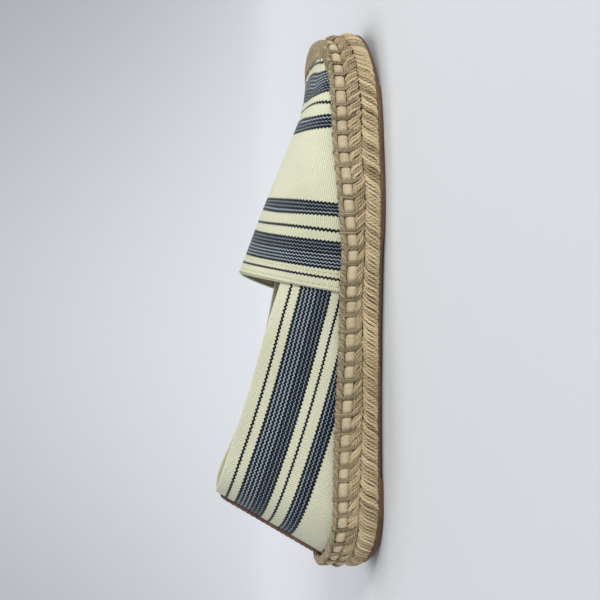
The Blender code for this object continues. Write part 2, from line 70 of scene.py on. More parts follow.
# place along the sole, lower and upper row in braid rows, cord in cord widths
soleSide = np.array([
    (0.00, 1.14, 0.83, 1.60), (0.07, 1.18, 0.80, 1.30), (0.14, 1.18, 0.79, 1.05),
    (0.21, 1.06, 0.79, 1.00), (0.28, 0.96, 0.73, 1.00), (0.35, 0.92, 0.62, 1.05),
    (0.42, 1.00, 0.46, 1.10), (0.48, 1.02, 0.42, 1.10), (0.55, 0.95, 0.43, 1.10),
    (0.62, 0.92, 0.74, 1.05), (0.68, 0.98, 0.86, 1.00), (0.75, 1.06, 0.97, 1.05),
    (0.85, 1.02, 1.01, 1.30), (0.93, 0.98, 0.98, 1.75), (1.00, 0.94, 0.94, 2.10),
]).T
# place along the sole, the vamp's ridge in instep heights, and its way to the big toe's side in ball widths
vampRidge = np.array([
    (0.538, 1.000, 0.050), (0.572, 0.945, 0.046), (0.617, 0.874, 0.040), (0.660, 0.805, 0.032),
    (0.700, 0.737, 0.026), (0.746, 0.657, 0.020), (0.794, 0.576, 0.014), (0.830, 0.517, 0.012),
    (0.860, 0.476, 0.010), (0.885, 0.453, 0.010),
]).T
vampFullness = np.array([(0.48, 1.62), (0.62, 1.72), (0.75, 1.95), (0.90, 2.40), (1.00, 2.60)]).T
# the collar: way round from the heel, place along the sole, height in heel heights, half width in halves of
# the top, and how far the slack edge on the big toe's side hangs lower
collarEdge = np.array([
    (0.00, 0.1400, 1.000, 0.000, 0.000), (0.10, 0.1425, 1.000, 0.255, 0.000),
    (0.20, 0.1510, 0.994, 0.490, 0.002), (0.30, 0.1660, 0.979, 0.670, 0.008),
    (0.40, 0.1890, 0.953, 0.795, 0.020), (0.50, 0.2230, 0.913, 0.870, 0.038),
    (0.60, 0.2680, 0.859, 0.915, 0.054), (0.70, 0.3220, 0.797, 0.935, 0.064),
    (0.80, 0.3830, 0.732, 0.935, 0.068), (0.90, 0.4450, 0.667, 0.915, 0.064),
    (1.00, 0.5050, 0.592, 0.880, 0.050),
]).T
# fabric of the vamp, measured from its hem in mm, where it leaves the sole and where it crosses the ridge
fabricAtSole = np.array([
    (0.488, 0.0), (0.508, 5.5), (0.524, 10.2), (0.5715, 23.8), (0.5895, 28.5), (0.616, 34.7),
    (0.638, 41.4), (0.772, 75.8), (0.797, 82.5), (0.820, 88.7), (0.8435, 93.4), (0.891, 107.0),
    (0.913, 111.7), (0.95, 117.0), (1.00, 122.5),
]).T
# fabric of the quarter: mm from the collar's edge, and mm in the stripes' pattern
quarterCloth = np.array([
    (0.0, 0.0), (5.6, 5.9), (10.9, 11.35), (23.3, 23.25), (28.6, 29.2), (35.8, 37.34), (41.3, 42.2),
    (60.0, 61.0),
]).T
fabricOnRidge = np.array([
    (0.538, 0.0), (0.5567, 5.5), (0.572, 10.2), (0.6171, 23.8), (0.6332, 28.5), (0.6562, 34.7),
    (0.6773, 41.4), (0.760, 65.0), (0.8473, 88.7), (0.885, 99.2),
]).T


def through(rows, column, at):
    # smooth curve through a table: cubic pieces whose slopes are harmonic means of the neighbours', so that
    # none swings out
    knots, values = rows[0], rows[column]
    run = np.diff(knots)
    rise = np.diff(values) / run
    both, total = rise[:-1] * rise[1:], rise[:-1] + rise[1:]
    mean = np.where(both > 0, 2 * both / np.where(both > 0, total, 1), 0)
    slope = np.concatenate([rise[:1], mean, rise[-1:]])
    row = np.clip(np.searchsorted(knots, at, side="right") - 1, 0, len(run) - 1)
    part = (at - knots[row]) / run[row]
    ends = values[row] * (1 + 2 * part) * (1 - part) ** 2 + values[row + 1] * part**2 * (3 - 2 * part)
    return ends + run[row] * (slope[row] * part * (1 - part) ** 2 - slope[row + 1] * part**2 * (1 - part))


def unit(vectors):
    # vectors of length 1
    return vectors / np.maximum(np.linalg.norm(vectors, axis=-1, keepdims=True), 1e-9)


def interpEach(at, knots, values):
    # values between knots, for each column of the values
    return np.stack([np.interp(at, knots, values[..., k]) for k in range(values.shape[-1])], -1)


def smoothStep(low, high, at):
    # 0 below low and 1 above high, with a soft rise between them: 3 part^2 - 2 part^3
    part = np.clip((at - low) / (high - low), 0, 1)
    return part * part * (3 - 2 * part)


def halfWidth(along):
    # half the sole's width, rounded off at the heel and the toe like two half ellipses
    heelShare = np.clip((shoe["heelShareEnd"] - along) / shoe["heelShareOver"], 0, 1)
    heelFit = 1 + heelShare * (shoe["heelWidth"] / (shoe["widestHeel"] * shoe["ballWidth"]) - 1)
    heel = np.clip((shoe["heelRound"] - along) / shoe["heelRound"], 0, 1)
    toe = np.clip((along - 1 + shoe["toeRound"]) / shoe["toeRound"], 0, 1)
    heelEnd = (1 - heel ** shoe["heelSquareness"]) ** (1 / shoe["heelSquareness"])
    toeEnd = (1 - toe ** shoe["toeSquareness"]) ** (1 / shoe["toeSquareness"])
    return through(soleOutline, 1, along) * shoe["ballWidth"] * heelFit * heelEnd * toeEnd


def sway(along):
    return through(soleOutline, 2, along) * shoe["ballWidth"]


# the sole's outline as a fine closed line: turn 0 at the heel, pi at the toe, the little toe's side first
fineTurn = np.linspace(0, 2 * np.pi, 24001)
fineAlong = (1 - np.cos(fineTurn)) / 2
fineX = sway(fineAlong) + np.where(fineTurn <= np.pi, 1, -1) * halfWidth(fineAlong)
centreX = (fineX.max() + fineX.min()) / 2
finePlan = np.stack([fineX - centreX, (fineAlong - 0.5) * shoe["length"]], 1)
fineStep = np.roll(finePlan[:-1], -12, 0) - np.roll(finePlan[:-1], 12, 0)
fineStep = unit(np.concatenate([fineStep, fineStep[:1]]))
fineOut = np.stack([fineStep[:, 1], -fineStep[:, 0]], 1)
fineRun = np.concatenate([[0], np.cumsum(np.linalg.norm(np.diff(finePlan, axis=0), axis=1))])
roundLength = fineRun[-1]


def alongAt(run):
    # place along the sole, from 0 at the heel to 1 at the toe, for a run round the outline in mm
    return np.interp(run % roundLength, fineRun, fineAlong)


def soleAt(turn):
    # place along the sole, plan point and outward direction for a turn round the sole
    turn = np.asarray(turn, float) % (2 * np.pi)
    out = unit(interpEach(turn, fineTurn, fineOut))
    return np.interp(turn, fineTurn, fineAlong), interpEach(turn, fineTurn, finePlan), out


def onSide(run, inset, height):
    # a point of the sole's side: its run round the outline, how far inside it lies and its height
    run, inset, height = np.broadcast_arrays(run, inset, height)
    turn = np.interp(run % roundLength, fineRun, fineTurn)
    plan, out = soleAt(turn)[1:]
    plan = plan - out * inset[..., None]
    return np.concatenate([plan, np.asarray(height, float)[..., None]], -1)


def outwardAt(run):
    # the level direction away from the sole's side
    turn = np.interp(run % roundLength, fineRun, fineTurn)
    out = soleAt(turn)[2]
    return np.concatenate([out, np.zeros(out.shape[:-1] + (1,))], -1)


# heights, widths and ways inside the outline, in mm, for places along the sole
def sheetBottom(along):
    heel, toe = through(soleLift, 1, along), through(soleLift, 2, along)
    return shoe["tread"] + heel * shoe["heelLift"] + toe * shoe["toeSpring"]


def treadDepth(along):
    heel = (along > shoe["heelTread"][0]) & (along < shoe["heelTread"][1])
    start, end = shoe["forefootTread"]
    rise = np.clip((along - start) / shoe["treadRamp"], 0, 1) * (along < end)
    return shoe["tread"] * np.maximum(heel, rise)


def braidBottom(along):
    return sheetBottom(along) + shoe["sheet"] + shoe["gap"]


def lowerRow(along):
    return through(soleSide, 1, along) * shoe["braidRow"]


def upperRow(along):
    return through(soleSide, 2, along) * shoe["braidRow"]


def tapeFoot(along):
    return braidBottom(along) + lowerRow(along) + shoe["braidSeam"] + upperRow(along)


def soleTop(along):
    return tapeFoot(along) + shoe["tapeHeight"]


def cordWidth(along):
    return through(soleSide, 3, along) * shoe["cordWidth"]


def tapeInset(along):
    # the tape sets back round the toe, because the sole's front leans back
    return shoe["tapeInset"] + shoe["toeSetback"] * smoothStep(shoe["setbackFrom"], 1, along)


def upperInset(along):
    return tapeInset(along) + cordWidth(along) + shoe["gap"] + shoe["hemStep"]


def middleLine(along):
    # where the sole's middle line lies to the right of the origin
    return sway(along) - centreX


def ridgePoint(at):
    # a point of the vamp's ridge, a little on the big toe's side of the middle line
    x = middleLine(at) - through(vampRidge, 2, at) * shoe["ballWidth"]
    return np.stack([x, (at - 0.5) * shoe["length"], through(vampRidge, 1, at) * shoe["instepHeight"]], -1)


throatTurn = math.acos(1 - 2 * shoe["throatSide"])
collarHeight = collarEdge[2][-1] * shoe["heelHeight"]


def footOf(turn):
    # where the canvas comes out of the sole, beside the cord
    along, plan, out = soleAt(turn)
    plan = plan - out * upperInset(along)[..., None]
    return along, np.concatenate([plan, (soleTop(along) + shoe["gap"])[..., None]], -1), out


def lowTurn():
    # how far up the throat's section the quarter's edge meets it
    foot = soleTop(np.float64(shoe["throatSide"])) + shoe["gap"]
    meet = (collarHeight - foot) / (shoe["instepHeight"] - foot)
    return math.asin(meet ** (vampFullness[1][0] / 2))


def vampForm(turn, rise):
    # the vamp: from the sole's edge to the ridge, a quarter of a superellipse whose way square to the edge
    # follows the section's width and whose other way follows its height; rise runs from 0 at the foot to
    # pi / 2 on the ridge
    along, foot, out = footOf(turn)
    way = (along - shoe["throatSide"]) / (1 - shoe["throatSide"])
    at = shoe["throatTop"] + (shoe["ridgeFront"] - shoe["throatTop"]) * way
    ridge = ridgePoint(at)
    uphill = unit(ridgePoint(at - shoe["ridgeStep"]) - ridge)
    power = (2 / through(vampFullness, 1, along))[..., None]
    across = 1 - np.abs(np.cos(rise)) ** power
    up = np.sin(rise) ** power
    reach = ridge[..., :2] - foot[..., :2]
    square = -out * (reach * -out).sum(-1, keepdims=True)
    aside = reach - square
    height = (ridge[..., 2] - foot[..., 2])[..., None]
    ruled = (square[..., 1] * uphill[..., 2] / uphill[..., 1])[..., None]
    slope = np.minimum(ruled, shoe["mostRuled"] * height)
    plan = foot[:, None, :2] + square[:, None] * across[..., None] + aside[:, None] * up[..., None]
    level = foot[:, None, 2] + slope * across + (height - slope) * up
    return np.concatenate([plan, level[..., None]], -1)


def collarPoint(wayRound, side):
    # a point of the collar's edge: wayRound is 0 at the heel's middle and 1 at the throat, side 1 or -1
    footAt = (1 - np.cos(wayRound * throatTurn)) / 2
    x = middleLine(footAt) + side * through(collarEdge, 3, wayRound) * shoe["heelTopWidth"] / 2
    y = (through(collarEdge, 1, wayRound) - 0.5) * shoe["length"]
    height = through(collarEdge, 2, wayRound) - (through(collarEdge, 4, wayRound) if side < 0 else 0)
    return np.stack([x, y, height * shoe["heelHeight"]], -1)


def quarterForm(signedTurn, share):
    # the quarter: straight from the sole's edge to the collar, and near the throat bent like the vamp's
    # section; signedTurn is 0 at the heel's middle and negative on the big toe's side, share is 0 at the foot
    # and 1 at the collar
    wayRound = np.abs(signedTurn) / throatTurn
    side = np.where(signedTurn < 0, -1.0, 1.0)
    foot = footOf(signedTurn)[1]
    top = np.where(side[:, None] > 0, collarPoint(wayRound, 1), collarPoint(wayRound, -1))
    near = np.clip((wayRound - shoe["drawnFrom"]) / (1 - shoe["drawnFrom"]), 0, 1) ** 2
    low = lowTurn()
    points = np.zeros((len(signedTurn), len(share), 3))
    for sign in (-1.0, 1.0):
        here = side == sign
        throatCurve = vampForm(np.array([sign * throatTurn]), low * share)[0]
        throatFoot, edge = throatCurve[0], throatCurve[-1]
        end = collarPoint(np.array([1.0]), sign)[0]
        topHere = top[here] + (edge - end) * near[here, None]
        bend = throatCurve - (throatFoot + (edge - throatFoot) * share[:, None])
        straight = foot[here, None] + (topHere[:, None] - foot[here, None]) * share[None, :, None]
        points[here] = straight + bend[None] * near[here, None, None]
    return points


# small helpers for meshes and nodes
def gridFaces(rows, columns, start=0):
    # the quads of a grid whose points are numbered row by row
    at = start + np.arange(rows * columns).reshape(rows, columns)
    return np.stack([at[:-1, :-1], at[:-1, 1:], at[1:, 1:], at[1:, :-1]], -1).reshape(-1, 4)


def addPiece(name, points, faceSets, materials, replaced=(), uv=None, weld=None, tones=None,
             paint=None):
    # puts whole arrays into a mesh; weld names for each point the one that it is joined to, after uv is read
    points = np.asarray(points, float).reshape(-1, 3) * 0.001
    corners = np.concatenate([faces.ravel() for faces in faceSets])
    sizes = np.concatenate([np.full(len(faces), faces.shape[1]) for faces in faceSets])
    joined = corners
    if weld is not None:
        kept, back = np.unique(weld, return_inverse=True)
        points, joined = points[kept], back[corners]
    mesh = bpy.data.meshes.new(name)
    mesh.vertices.add(len(points))
    mesh.vertices.foreach_set("co", points.astype(np.float32).ravel())
    mesh.loops.add(len(joined))
    mesh.loops.foreach_set("vertex_index", joined.astype(np.int32))
    mesh.polygons.add(len(sizes))
    mesh.polygons.foreach_set("loop_start", np.concatenate([[0], np.cumsum(sizes)[:-1]]).astype(np.int32))
    mesh.polygons.foreach_set("use_smooth", np.ones(len(sizes), bool))
    if paint is not None:
        mesh.polygons.foreach_set("material_index", paint.astype(np.int32))
    mesh.update(calc_edges=True)
    if uv is not None:
        cloth = np.asarray(uv, float).reshape(-1, 2)[corners]
        mesh.uv_layers.new(name="cloth").data.foreach_set("uv", cloth.astype(np.float32).ravel())
    if tones is not None:
        tone = mesh.attributes.new("tone", "FLOAT", "POINT")
        tone.data.foreach_set("value", tones.astype(np.float32).ravel())
    mesh.validate()
    for material in materials:
        mesh.materials.append(material)
    piece = bpy.data.objects.new(name, mesh)
    bpy.context.collection.objects.link(piece)
    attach(piece, "root")
    if replaced:
        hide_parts(*replaced)
    print("made", name, len(sizes), "faces")


def tubes(centres, radius, facing, sides):
    # many round strands at once: centres is strands x points x 3, and each ring is centre + radius
    # (cos t across + sin t up)
    along = unit(np.gradient(centres, axis=1))
    across = unit(np.cross(along, facing))
    up = np.cross(across, along)
    angle = np.arange(sides) * 2 * np.pi / sides
    radius = np.broadcast_to(radius, centres.shape[:2])[..., None, None]
    ring = np.cos(angle)[:, None] * across[:, :, None] + np.sin(angle)[:, None] * up[:, :, None]
    points = centres[:, :, None] + radius * ring
    count, length = centres.shape[:2]
    at = np.arange(count * length * sides).reshape(count, length, sides)
    nextSide = np.roll(at, -1, 2)
    walls = np.stack([at[:, :-1], at[:, 1:], nextSide[:, 1:], nextSide[:, :-1]], -1).reshape(-1, 4)
    ends = np.concatenate([at[:, 0], at[:, -1, ::-1]])
    steps = np.linalg.norm(np.diff(centres, axis=1), axis=2)
    run = np.concatenate([np.zeros((count, 1)), np.cumsum(steps, 1)], 1)
    turn = np.broadcast_to(angle / (2 * np.pi), at.shape)
    uv = np.stack([np.broadcast_to(run[..., None], at.shape), turn * 4.0], -1)
    return points, [walls, ends], uv.reshape(-1, 2)


def toLinear(code):
    # an sRGB hex colour as a linear one
    part = np.array([int(code[i:i + 2], 16) for i in (1, 3, 5)]) / 255
    linear = np.where(part <= 0.04045, part / 12.92, ((part + 0.055) / 1.055) ** 2.4)
    return (*linear.tolist(), 1.0)


def addNode(tree, kind, inputs=None, stops=None, **settings):
    # one shader node: its settings, its colour stops, and for each input a value, a socket or a node, whose
    # first output it is
    node = tree.nodes.new("ShaderNode" + kind)
    for key, value in settings.items():
        setattr(node, key, value)
    for key, value in (inputs or {}).items():
        if isinstance(value, bpy.types.Node):
            value = value.outputs[0]
        if isinstance(value, bpy.types.NodeSocket):
            tree.links.new(value, node.inputs[key])
        else:
            node.inputs[key].default_value = value
    if stops:
        elements = node.color_ramp.elements
        while len(elements) > 1:
            elements.remove(elements[-1])
        elements[0].position, elements[0].color = stops[0][0], toLinear(stops[0][1])
        for position, code in stops[1:]:
            elements.new(position).color = toLinear(code)
    return node


def newMaterial(name, **shaderValues):
    # a material whose constant values stand on the shader's own sockets
    material = bpy.data.materials.new(name)
    material.use_nodes = True
    tree = material.node_tree
    shader = tree.nodes["Principled BSDF"]
    for key, value in shaderValues.items():
        shader.inputs[key.replace("_", " ")].default_value = value
    return material, tree, shader


# materials
def juteMaterial(name, dark, middle, light):
    # jute: dull bast fibre spun into yarn, so it scatters light and shows a slanting twist and pale fibres
    material, tree, shader = newMaterial(name, Roughness=0.93, Sheen_Weight=0.15, Sheen_Roughness=0.6,
                                         Specular_IOR_Level=0.2)
    uv = addNode(tree, "UVMap", uv_map="cloth")
    place = addNode(tree, "TexCoord").outputs["Object"]
    tone = addNode(tree, "Attribute", attribute_name="tone").outputs["Fac"]
    # the yarn's plies lie about 0.6 mm apart, drawn 1.1 mm apart so that they show, and slant round it
    turned = addNode(tree, "Mapping", {"Vector": uv, "Rotation": (0, 0, 0.85)})
    twist = addNode(tree, "TexWave", {"Vector": turned, "Scale": 0.28, "Distortion": 1.6, "Detail": 2,
                                      "Detail Scale": 2.0}, bands_direction="X").outputs["Fac"]
    # fibres about 0.5 mm across, and soft patches some 10 mm across
    fibres = addNode(tree, "TexNoise", {"Vector": place, "Scale": 900, "Detail": 3, "Roughness": 0.7})
    patches = addNode(tree, "TexNoise", {"Vector": place, "Scale": 70, "Detail": 3, "Roughness": 0.6})
    # the twist's bands also go into the colour, lighter on the plies' crests and darker in the grooves
    # between them: painted light and shade of the plies; tone, patches and fibres are the jute's own colour
    mixed = 0.0
    for part, share in ((tone, 0.34), (patches, 0.25), (fibres, 0.26), (twist, 0.16)):
        mixed = addNode(tree, "Math", {0: part, 1: share, 2: mixed}, operation="MULTIPLY_ADD")
    colour = addNode(tree, "ValToRGB", {"Fac": mixed}, stops=[(0.26, dark), (0.5, middle), (0.74, light)])
    tree.links.new(colour.outputs[0], shader.inputs["Base Color"])
    height = addNode(tree, "Math", {0: fibres, 1: 0.8, 2: twist}, operation="MULTIPLY_ADD")
    bump = addNode(tree, "Bump", {"Height": height, "Strength": 0.6, "Distance": 0.0003})
    tree.links.new(bump.outputs[0], shader.inputs["Normal"])
    return material


def clothMaterial(name, dark, light, thread):
    # plain woven cotton: over and under threads, so a fine chequer of bumps; thread is its spacing in mm
    material, tree, shader = newMaterial(name, Roughness=0.9, Sheen_Weight=0.2, Sheen_Roughness=0.5,
                                         Specular_IOR_Level=0.3)
    uv = addNode(tree, "UVMap", uv_map="cloth")
    place = addNode(tree, "TexCoord").outputs["Object"]
    parts = addNode(tree, "SeparateXYZ", {0: uv})
    weave = 1.0
    for way in "XY":
        turn = addNode(tree, "Math", {0: parts.outputs[way], 1: math.pi / thread}, operation="MULTIPLY")
        wave = addNode(tree, "Math", {0: turn}, operation="SINE")
        weave = addNode(tree, "Math", {0: wave, 1: weave}, operation="MULTIPLY")
    patches = addNode(tree, "TexNoise", {"Vector": place, "Scale": 90, "Detail": 5, "Roughness": 0.6})
    mixed = addNode(tree, "Math", {0: weave, 1: 0.12, 2: patches}, operation="MULTIPLY_ADD")
    colour = addNode(tree, "ValToRGB", {"Fac": mixed}, stops=[(0.3, dark), (0.68, light)])
    tree.links.new(colour.outputs[0], shader.inputs["Base Color"])
    height = addNode(tree, "Math", {0: weave}, operation="ABSOLUTE")
    bump = addNode(tree, "Bump", {"Height": height, "Strength": 0.4, "Distance": 0.00015})
    tree.links.new(bump.outputs[0], shader.inputs["Normal"])
    return material


stripes = {
    "cream": "#d9d9c1", "navy": "#0a1624", "between": "#a9b7c4",
    "middle": 58.6, "spread": 64.0,     # mm from the hem to the pattern's middle, and the ramp's whole width
    "fourLines": (17.8, 1.83), "eightLines": (35.4, 1.77),    # mm from the middle to the first, and pitch
    "thinLines": (30.1, 53.1),          # mm from the middle
    "line": 1.43, "thinLine": 1.28,     # mm wide
    "rib": 1.75, "swing": 0.72,         # mm: a pair of cross ribs, and how far they push each line to and fro
    "warp": 0.9, "wander": 0.3,         # mm: between warp threads, and how far the lines stray
}


def stripeStops():
    # the pattern from its middle outwards: cream, the four lines, a thin one, the eight lines and a thin one
    lines = [(centre, stripes["thinLine"], stripes["cream"]) for centre in stripes["thinLines"]]
    for (first, pitch), count in ((stripes["fourLines"], 4), (stripes["eightLines"], 8)):
        for k in range(count):
            after = stripes["between"] if k < count - 1 else stripes["cream"]
            lines.append((first + pitch * k, stripes["line"], after))
    stops = [(0.0, stripes["cream"])]
    for centre, width, after in lines:
        stops.append(((centre - width / 2) / stripes["spread"], stripes["navy"]))
        stops.append(((centre + width / 2) / stripes["spread"], after))
    return sorted(stops)


def canvasMaterial():
    # ribbed cotton canvas, yarn dyed: dull cream, with navy warp lines that the thick cross ribs push into
    # zigzags
    material, tree, shader = newMaterial("ribbed_cotton_canvas", Roughness=0.9, Sheen_Weight=0.12,
                                         Sheen_Roughness=0.5, Specular_IOR_Level=0.25)
    uv = addNode(tree, "UVMap", uv_map="cloth")
    place = addNode(tree, "TexCoord").outputs["Object"]
    parts = addNode(tree, "SeparateXYZ", {0: uv})
    across, down = parts.outputs["X"], parts.outputs["Y"]
    # each line's place: mm from the hem, pushed to and fro by the ribs and a little by chance
    stray = addNode(tree, "TexNoise", {"Vector": uv, "Scale": 0.9, "Detail": 2})
    zigzag = addNode(tree, "Math", {0: across, 1: stripes["rib"] / 2}, operation="PINGPONG")
    push = stripes["swing"] / (stripes["rib"] / 2)
    swung = addNode(tree, "Math", {0: zigzag, 1: push, 2: down}, operation="MULTIPLY_ADD")
    swung = addNode(tree, "Math", {0: stray, 1: stripes["wander"], 2: swung}, operation="MULTIPLY_ADD")
    centre = stripes["middle"] + (stripes["swing"] + stripes["wander"]) / 2
    apart = addNode(tree, "Math", {0: swung, 1: centre}, operation="SUBTRACT")
    apart = addNode(tree, "Math", {0: apart}, operation="ABSOLUTE")
    share = addNode(tree, "Math", {0: apart, 1: stripes["spread"]}, operation="DIVIDE")
    dyed = addNode(tree, "ValToRGB", {"Fac": share}, stops=stripeStops())
    dyed.color_ramp.interpolation = "CONSTANT"
    # the yarn's own unevenness, 0.5 to 2 mm across, and large soft differences in the dye
    slub = addNode(tree, "TexNoise", {"Vector": uv, "Scale": 1.2, "Detail": 3, "Roughness": 0.6})
    soft = addNode(tree, "TexNoise", {"Vector": place, "Scale": 22, "Detail": 2})
    uneven = addNode(tree, "Math", {0: slub, 1: 0.4}, operation="MULTIPLY")
    uneven = addNode(tree, "Math", {0: soft, 1: 0.6, 2: uneven}, operation="MULTIPLY_ADD")
    shade = addNode(tree, "ValToRGB", {"Fac": uneven}, stops=[(0.3, "#e4e2d8"), (0.6, "#ffffff")])
    colour = addNode(tree, "Mix", {"Factor": 1.0, "A": dyed, "B": shade}, data_type="RGBA",
                     blend_type="MULTIPLY")
    # ribs across the stripes, two to each zigzag, and the slanting warp over them
    turn = 2 * math.pi / stripes["rib"]
    ribs = addNode(tree, "Math", {0: across, 1: 2 * turn}, operation="MULTIPLY")
    ribs = addNode(tree, "Math", {0: ribs}, operation="SINE")
    slant = addNode(tree, "Math", {0: across, 1: turn}, operation="MULTIPLY")
    warpTurn = 2 * math.pi / stripes["warp"]
    warp = addNode(tree, "Math", {0: down, 1: warpTurn, 2: slant}, operation="MULTIPLY_ADD")
    warp = addNode(tree, "Math", {0: warp}, operation="SINE")
    warp = addNode(tree, "Math", {0: warp, 1: 0.4}, operation="MULTIPLY")
    height = addNode(tree, "Math", {0: ribs, 1: 0.7, 2: warp}, operation="MULTIPLY_ADD")
    # the colour is darkened wherever the ribs and the warp lie low: painted shade in the weave's grooves, on
    # top of the bump
    lit = addNode(tree, "Math", {0: height, 1: 0.4, 2: 0.5}, operation="MULTIPLY_ADD")
    grooveShade = addNode(tree, "ValToRGB", {"Fac": lit}, stops=[(0.05, "#cfcfbb"), (0.6, "#ffffff")])
    woven = addNode(tree, "Mix", {"Factor": 0.8, "A": colour.outputs["Result"], "B": grooveShade},
                    data_type="RGBA", blend_type="MULTIPLY")
    tree.links.new(woven.outputs["Result"], shader.inputs["Base Color"])
    bump = addNode(tree, "Bump", {"Height": height, "Strength": 0.5, "Distance": 0.00025})
    tree.links.new(bump.outputs[0], shader.inputs["Normal"])
    return material


def rubberMaterial():
    # gum rubber, calendered: brown and a little waxy
    material, tree, shader = newMaterial("gum_rubber_sheet", Roughness=0.55, Specular_IOR_Level=0.45)
    place = addNode(tree, "TexCoord").outputs["Object"]
    patches = addNode(tree, "TexNoise", {"Vector": place, "Scale": 60, "Detail": 6, "Roughness": 0.7})
    # these browns are the gum's own brown darkened by about a third: partly its own colour, partly painted
    # shade
    colour = addNode(tree, "ValToRGB", {"Fac": patches},
                     stops=[(0.3, "#432e1a"), (0.52, "#594026"), (0.75, "#6e5237")])
    tree.links.new(colour.outputs[0], shader.inputs["Base Color"])
    # fine tread: ribs across the sole, 2.5 mm apart
    ribs = addNode(tree, "TexWave", {"Vector": place, "Scale": 63}, bands_direction="Y").outputs["Fac"]
    height = addNode(tree, "Math", {0: patches, 1: 0.4, 2: ribs}, operation="MULTIPLY_ADD")
    bump = addNode(tree, "Bump", {"Height": height, "Strength": 0.35, "Distance": 0.0004})
    tree.links.new(bump.outputs[0], shader.inputs["Normal"])
    return material


def leatherMaterial():
    # thin vegetable-tanned leather: brown, matte, with a fine grain of 0.7 mm cells
    material, tree, shader = newMaterial("heel_strip_leather", Roughness=0.62, Specular_IOR_Level=0.4)
    place = addNode(tree, "TexCoord").outputs["Object"]
    grain = addNode(tree, "TexVoronoi", {"Vector": place, "Scale": 1400}, feature="DISTANCE_TO_EDGE")
    patches = addNode(tree, "TexNoise", {"Vector": place, "Scale": 120, "Detail": 5})
    colour = addNode(tree, "ValToRGB", {"Fac": patches},
                     stops=[(0.3, "#553b2d"), (0.55, "#795545"), (0.8, "#8f6a57")])
    tree.links.new(colour.outputs[0], shader.inputs["Base Color"])
    bump = addNode(tree, "Bump", {"Height": grain.outputs["Distance"], "Strength": 0.5, "Distance": 0.0002})
    tree.links.new(bump.outputs[0], shader.inputs["Normal"])
    return material


def threadMaterial(name, code):
    # waxed cotton sewing thread, whose plies slant round it
    material, tree, shader = newMaterial(name, Base_Color=toLinear(code), Roughness=0.75, Sheen_Weight=0.2)
    uv = addNode(tree, "UVMap", uv_map="cloth")
    turned = addNode(tree, "Mapping", {"Vector": uv, "Rotation": (0, 0, 0.9)})
    ply = addNode(tree, "TexWave", {"Vector": turned, "Scale": 0.6}, bands_direction="X")
    bump = addNode(tree, "Bump", {"Height": ply.outputs["Fac"], "Strength": 0.4, "Distance": 0.0001})
    tree.links.new(bump.outputs[0], shader.inputs["Normal"])
    return material


braidJute = juteMaterial("braided_jute", "#77664a", "#b5a17c", "#d3c29e")
cordJute = juteMaterial("twisted_jute_cord", "#62563f", "#908164", "#b0a183")
# the toe rim's jute is the braid's jute drawn darker: painted shade of the far rim over the toe
shadedRimJute = juteMaterial("toe_rim_jute_painted_shade", "#5f5239", "#8d7b5b", "#ab9a78")
# the core's jute is drawn very dark: painted shade in the gaps between the strands and beads, where the core
# shows through
gapShadeCoreJute = juteMaterial("packed_jute_core_painted_shade", "#453824", "#5f4f36", "#76654a")
# the tape's threads lie about 0.5 mm apart, and are drawn coarser so that they show
tapeCotton = clothMaterial("beige_cotton_tape", "#b0a182", "#c4b596", 0.8)
# the lining is natural cotton drawn olive-grey and darker than the sock: partly its own colour, partly
# painted shade of the shoe's inside
shadedLiningCotton = clothMaterial("cotton_lining_with_painted_shade", "#a9a582", "#c2be9c", 0.6)
sockCotton = clothMaterial("insole_cotton", "#cbc4ac", "#dfdac6", 0.6)
canvas = canvasMaterial()
gumRubber = rubberMaterial()
stripLeather = leatherMaterial()
creamThread = threadMaterial("cream_thread", "#c8c4a6")
brownThread = threadMaterial("brown_thread", "#4c3327")
print("made the materials")


# the sole
soleTurns = np.arange(480) * 2 * np.pi / 480


def soleLine(inset, height):
    # a closed line round the sole, a way inside its outline
    along, plan, out = soleAt(soleTurns)
    plan = plan - out * np.broadcast_to(inset, along.shape)[:, None]
    return np.column_stack([plan, np.broadcast_to(height, along.shape)])


def sweptSolid(name, lines, material, replaced, across=14):
    # closed lines round the sole joined from the bottom one to the top one, both of which are then filled
    # from side to side: point (k, t) of a fill is the little toe's side (1 - t) + the big toe's side t
    lines = np.array(lines)
    rows, count = lines.shape[:2]
    half = count // 2
    at = np.arange(rows * count).reshape(rows, count)
    ahead = np.roll(at, -1, 1)
    points, weld = [lines.reshape(-1, 3)], [at.ravel()]
    faces = [np.stack([at[:-1], ahead[:-1], ahead[1:], at[1:]], -1).reshape(-1, 4)]
    uvs = [np.stack([lines[..., 1] + lines[..., 0], lines[..., 2]], -1).reshape(-1, 2)]
    start = rows * count
    part = np.linspace(0, 1, across)[None, :, None]
    littleAt = np.arange(half + 1)
    bigAt = (count - littleAt) % count
    for row, flip in ((0, True), (rows - 1, False)):
        fill = lines[row, littleAt, None] * (1 - part) + lines[row, bigAt, None] * part
        joined = start + np.arange((half + 1) * across).reshape(half + 1, across)
        joined[:, 0], joined[:, -1] = row * count + littleAt, row * count + bigAt
        joined[0], joined[-1] = row * count, row * count + half
        quads = gridFaces(half + 1, across, start)
        faces.append(quads if flip else quads[:, ::-1])
        points.append(fill.reshape(-1, 3))
        uvs.append(fill[..., :2].reshape(-1, 2))
        weld.append(joined.ravel())
        start += joined.size
    weld, quads = np.concatenate(weld), np.concatenate(faces)
    # a quad with two joined corners becomes a triangle, one with more falls away
    same = weld[quads] == np.roll(weld[quads], -1, 1)
    once = same.sum(1) == 1
    sets = [quads[~same.any(1)], quads[once][~same[once]].reshape(-1, 3)]
    return addPiece(name, np.concatenate(points), sets, [material], replaced, uv=np.concatenate(uvs),
                    weld=weld)


outsole = {"corner": 0.35, "topCorner": (0.3, 0.2)}    # mm: the lower edge's round, the upper edge's bevel


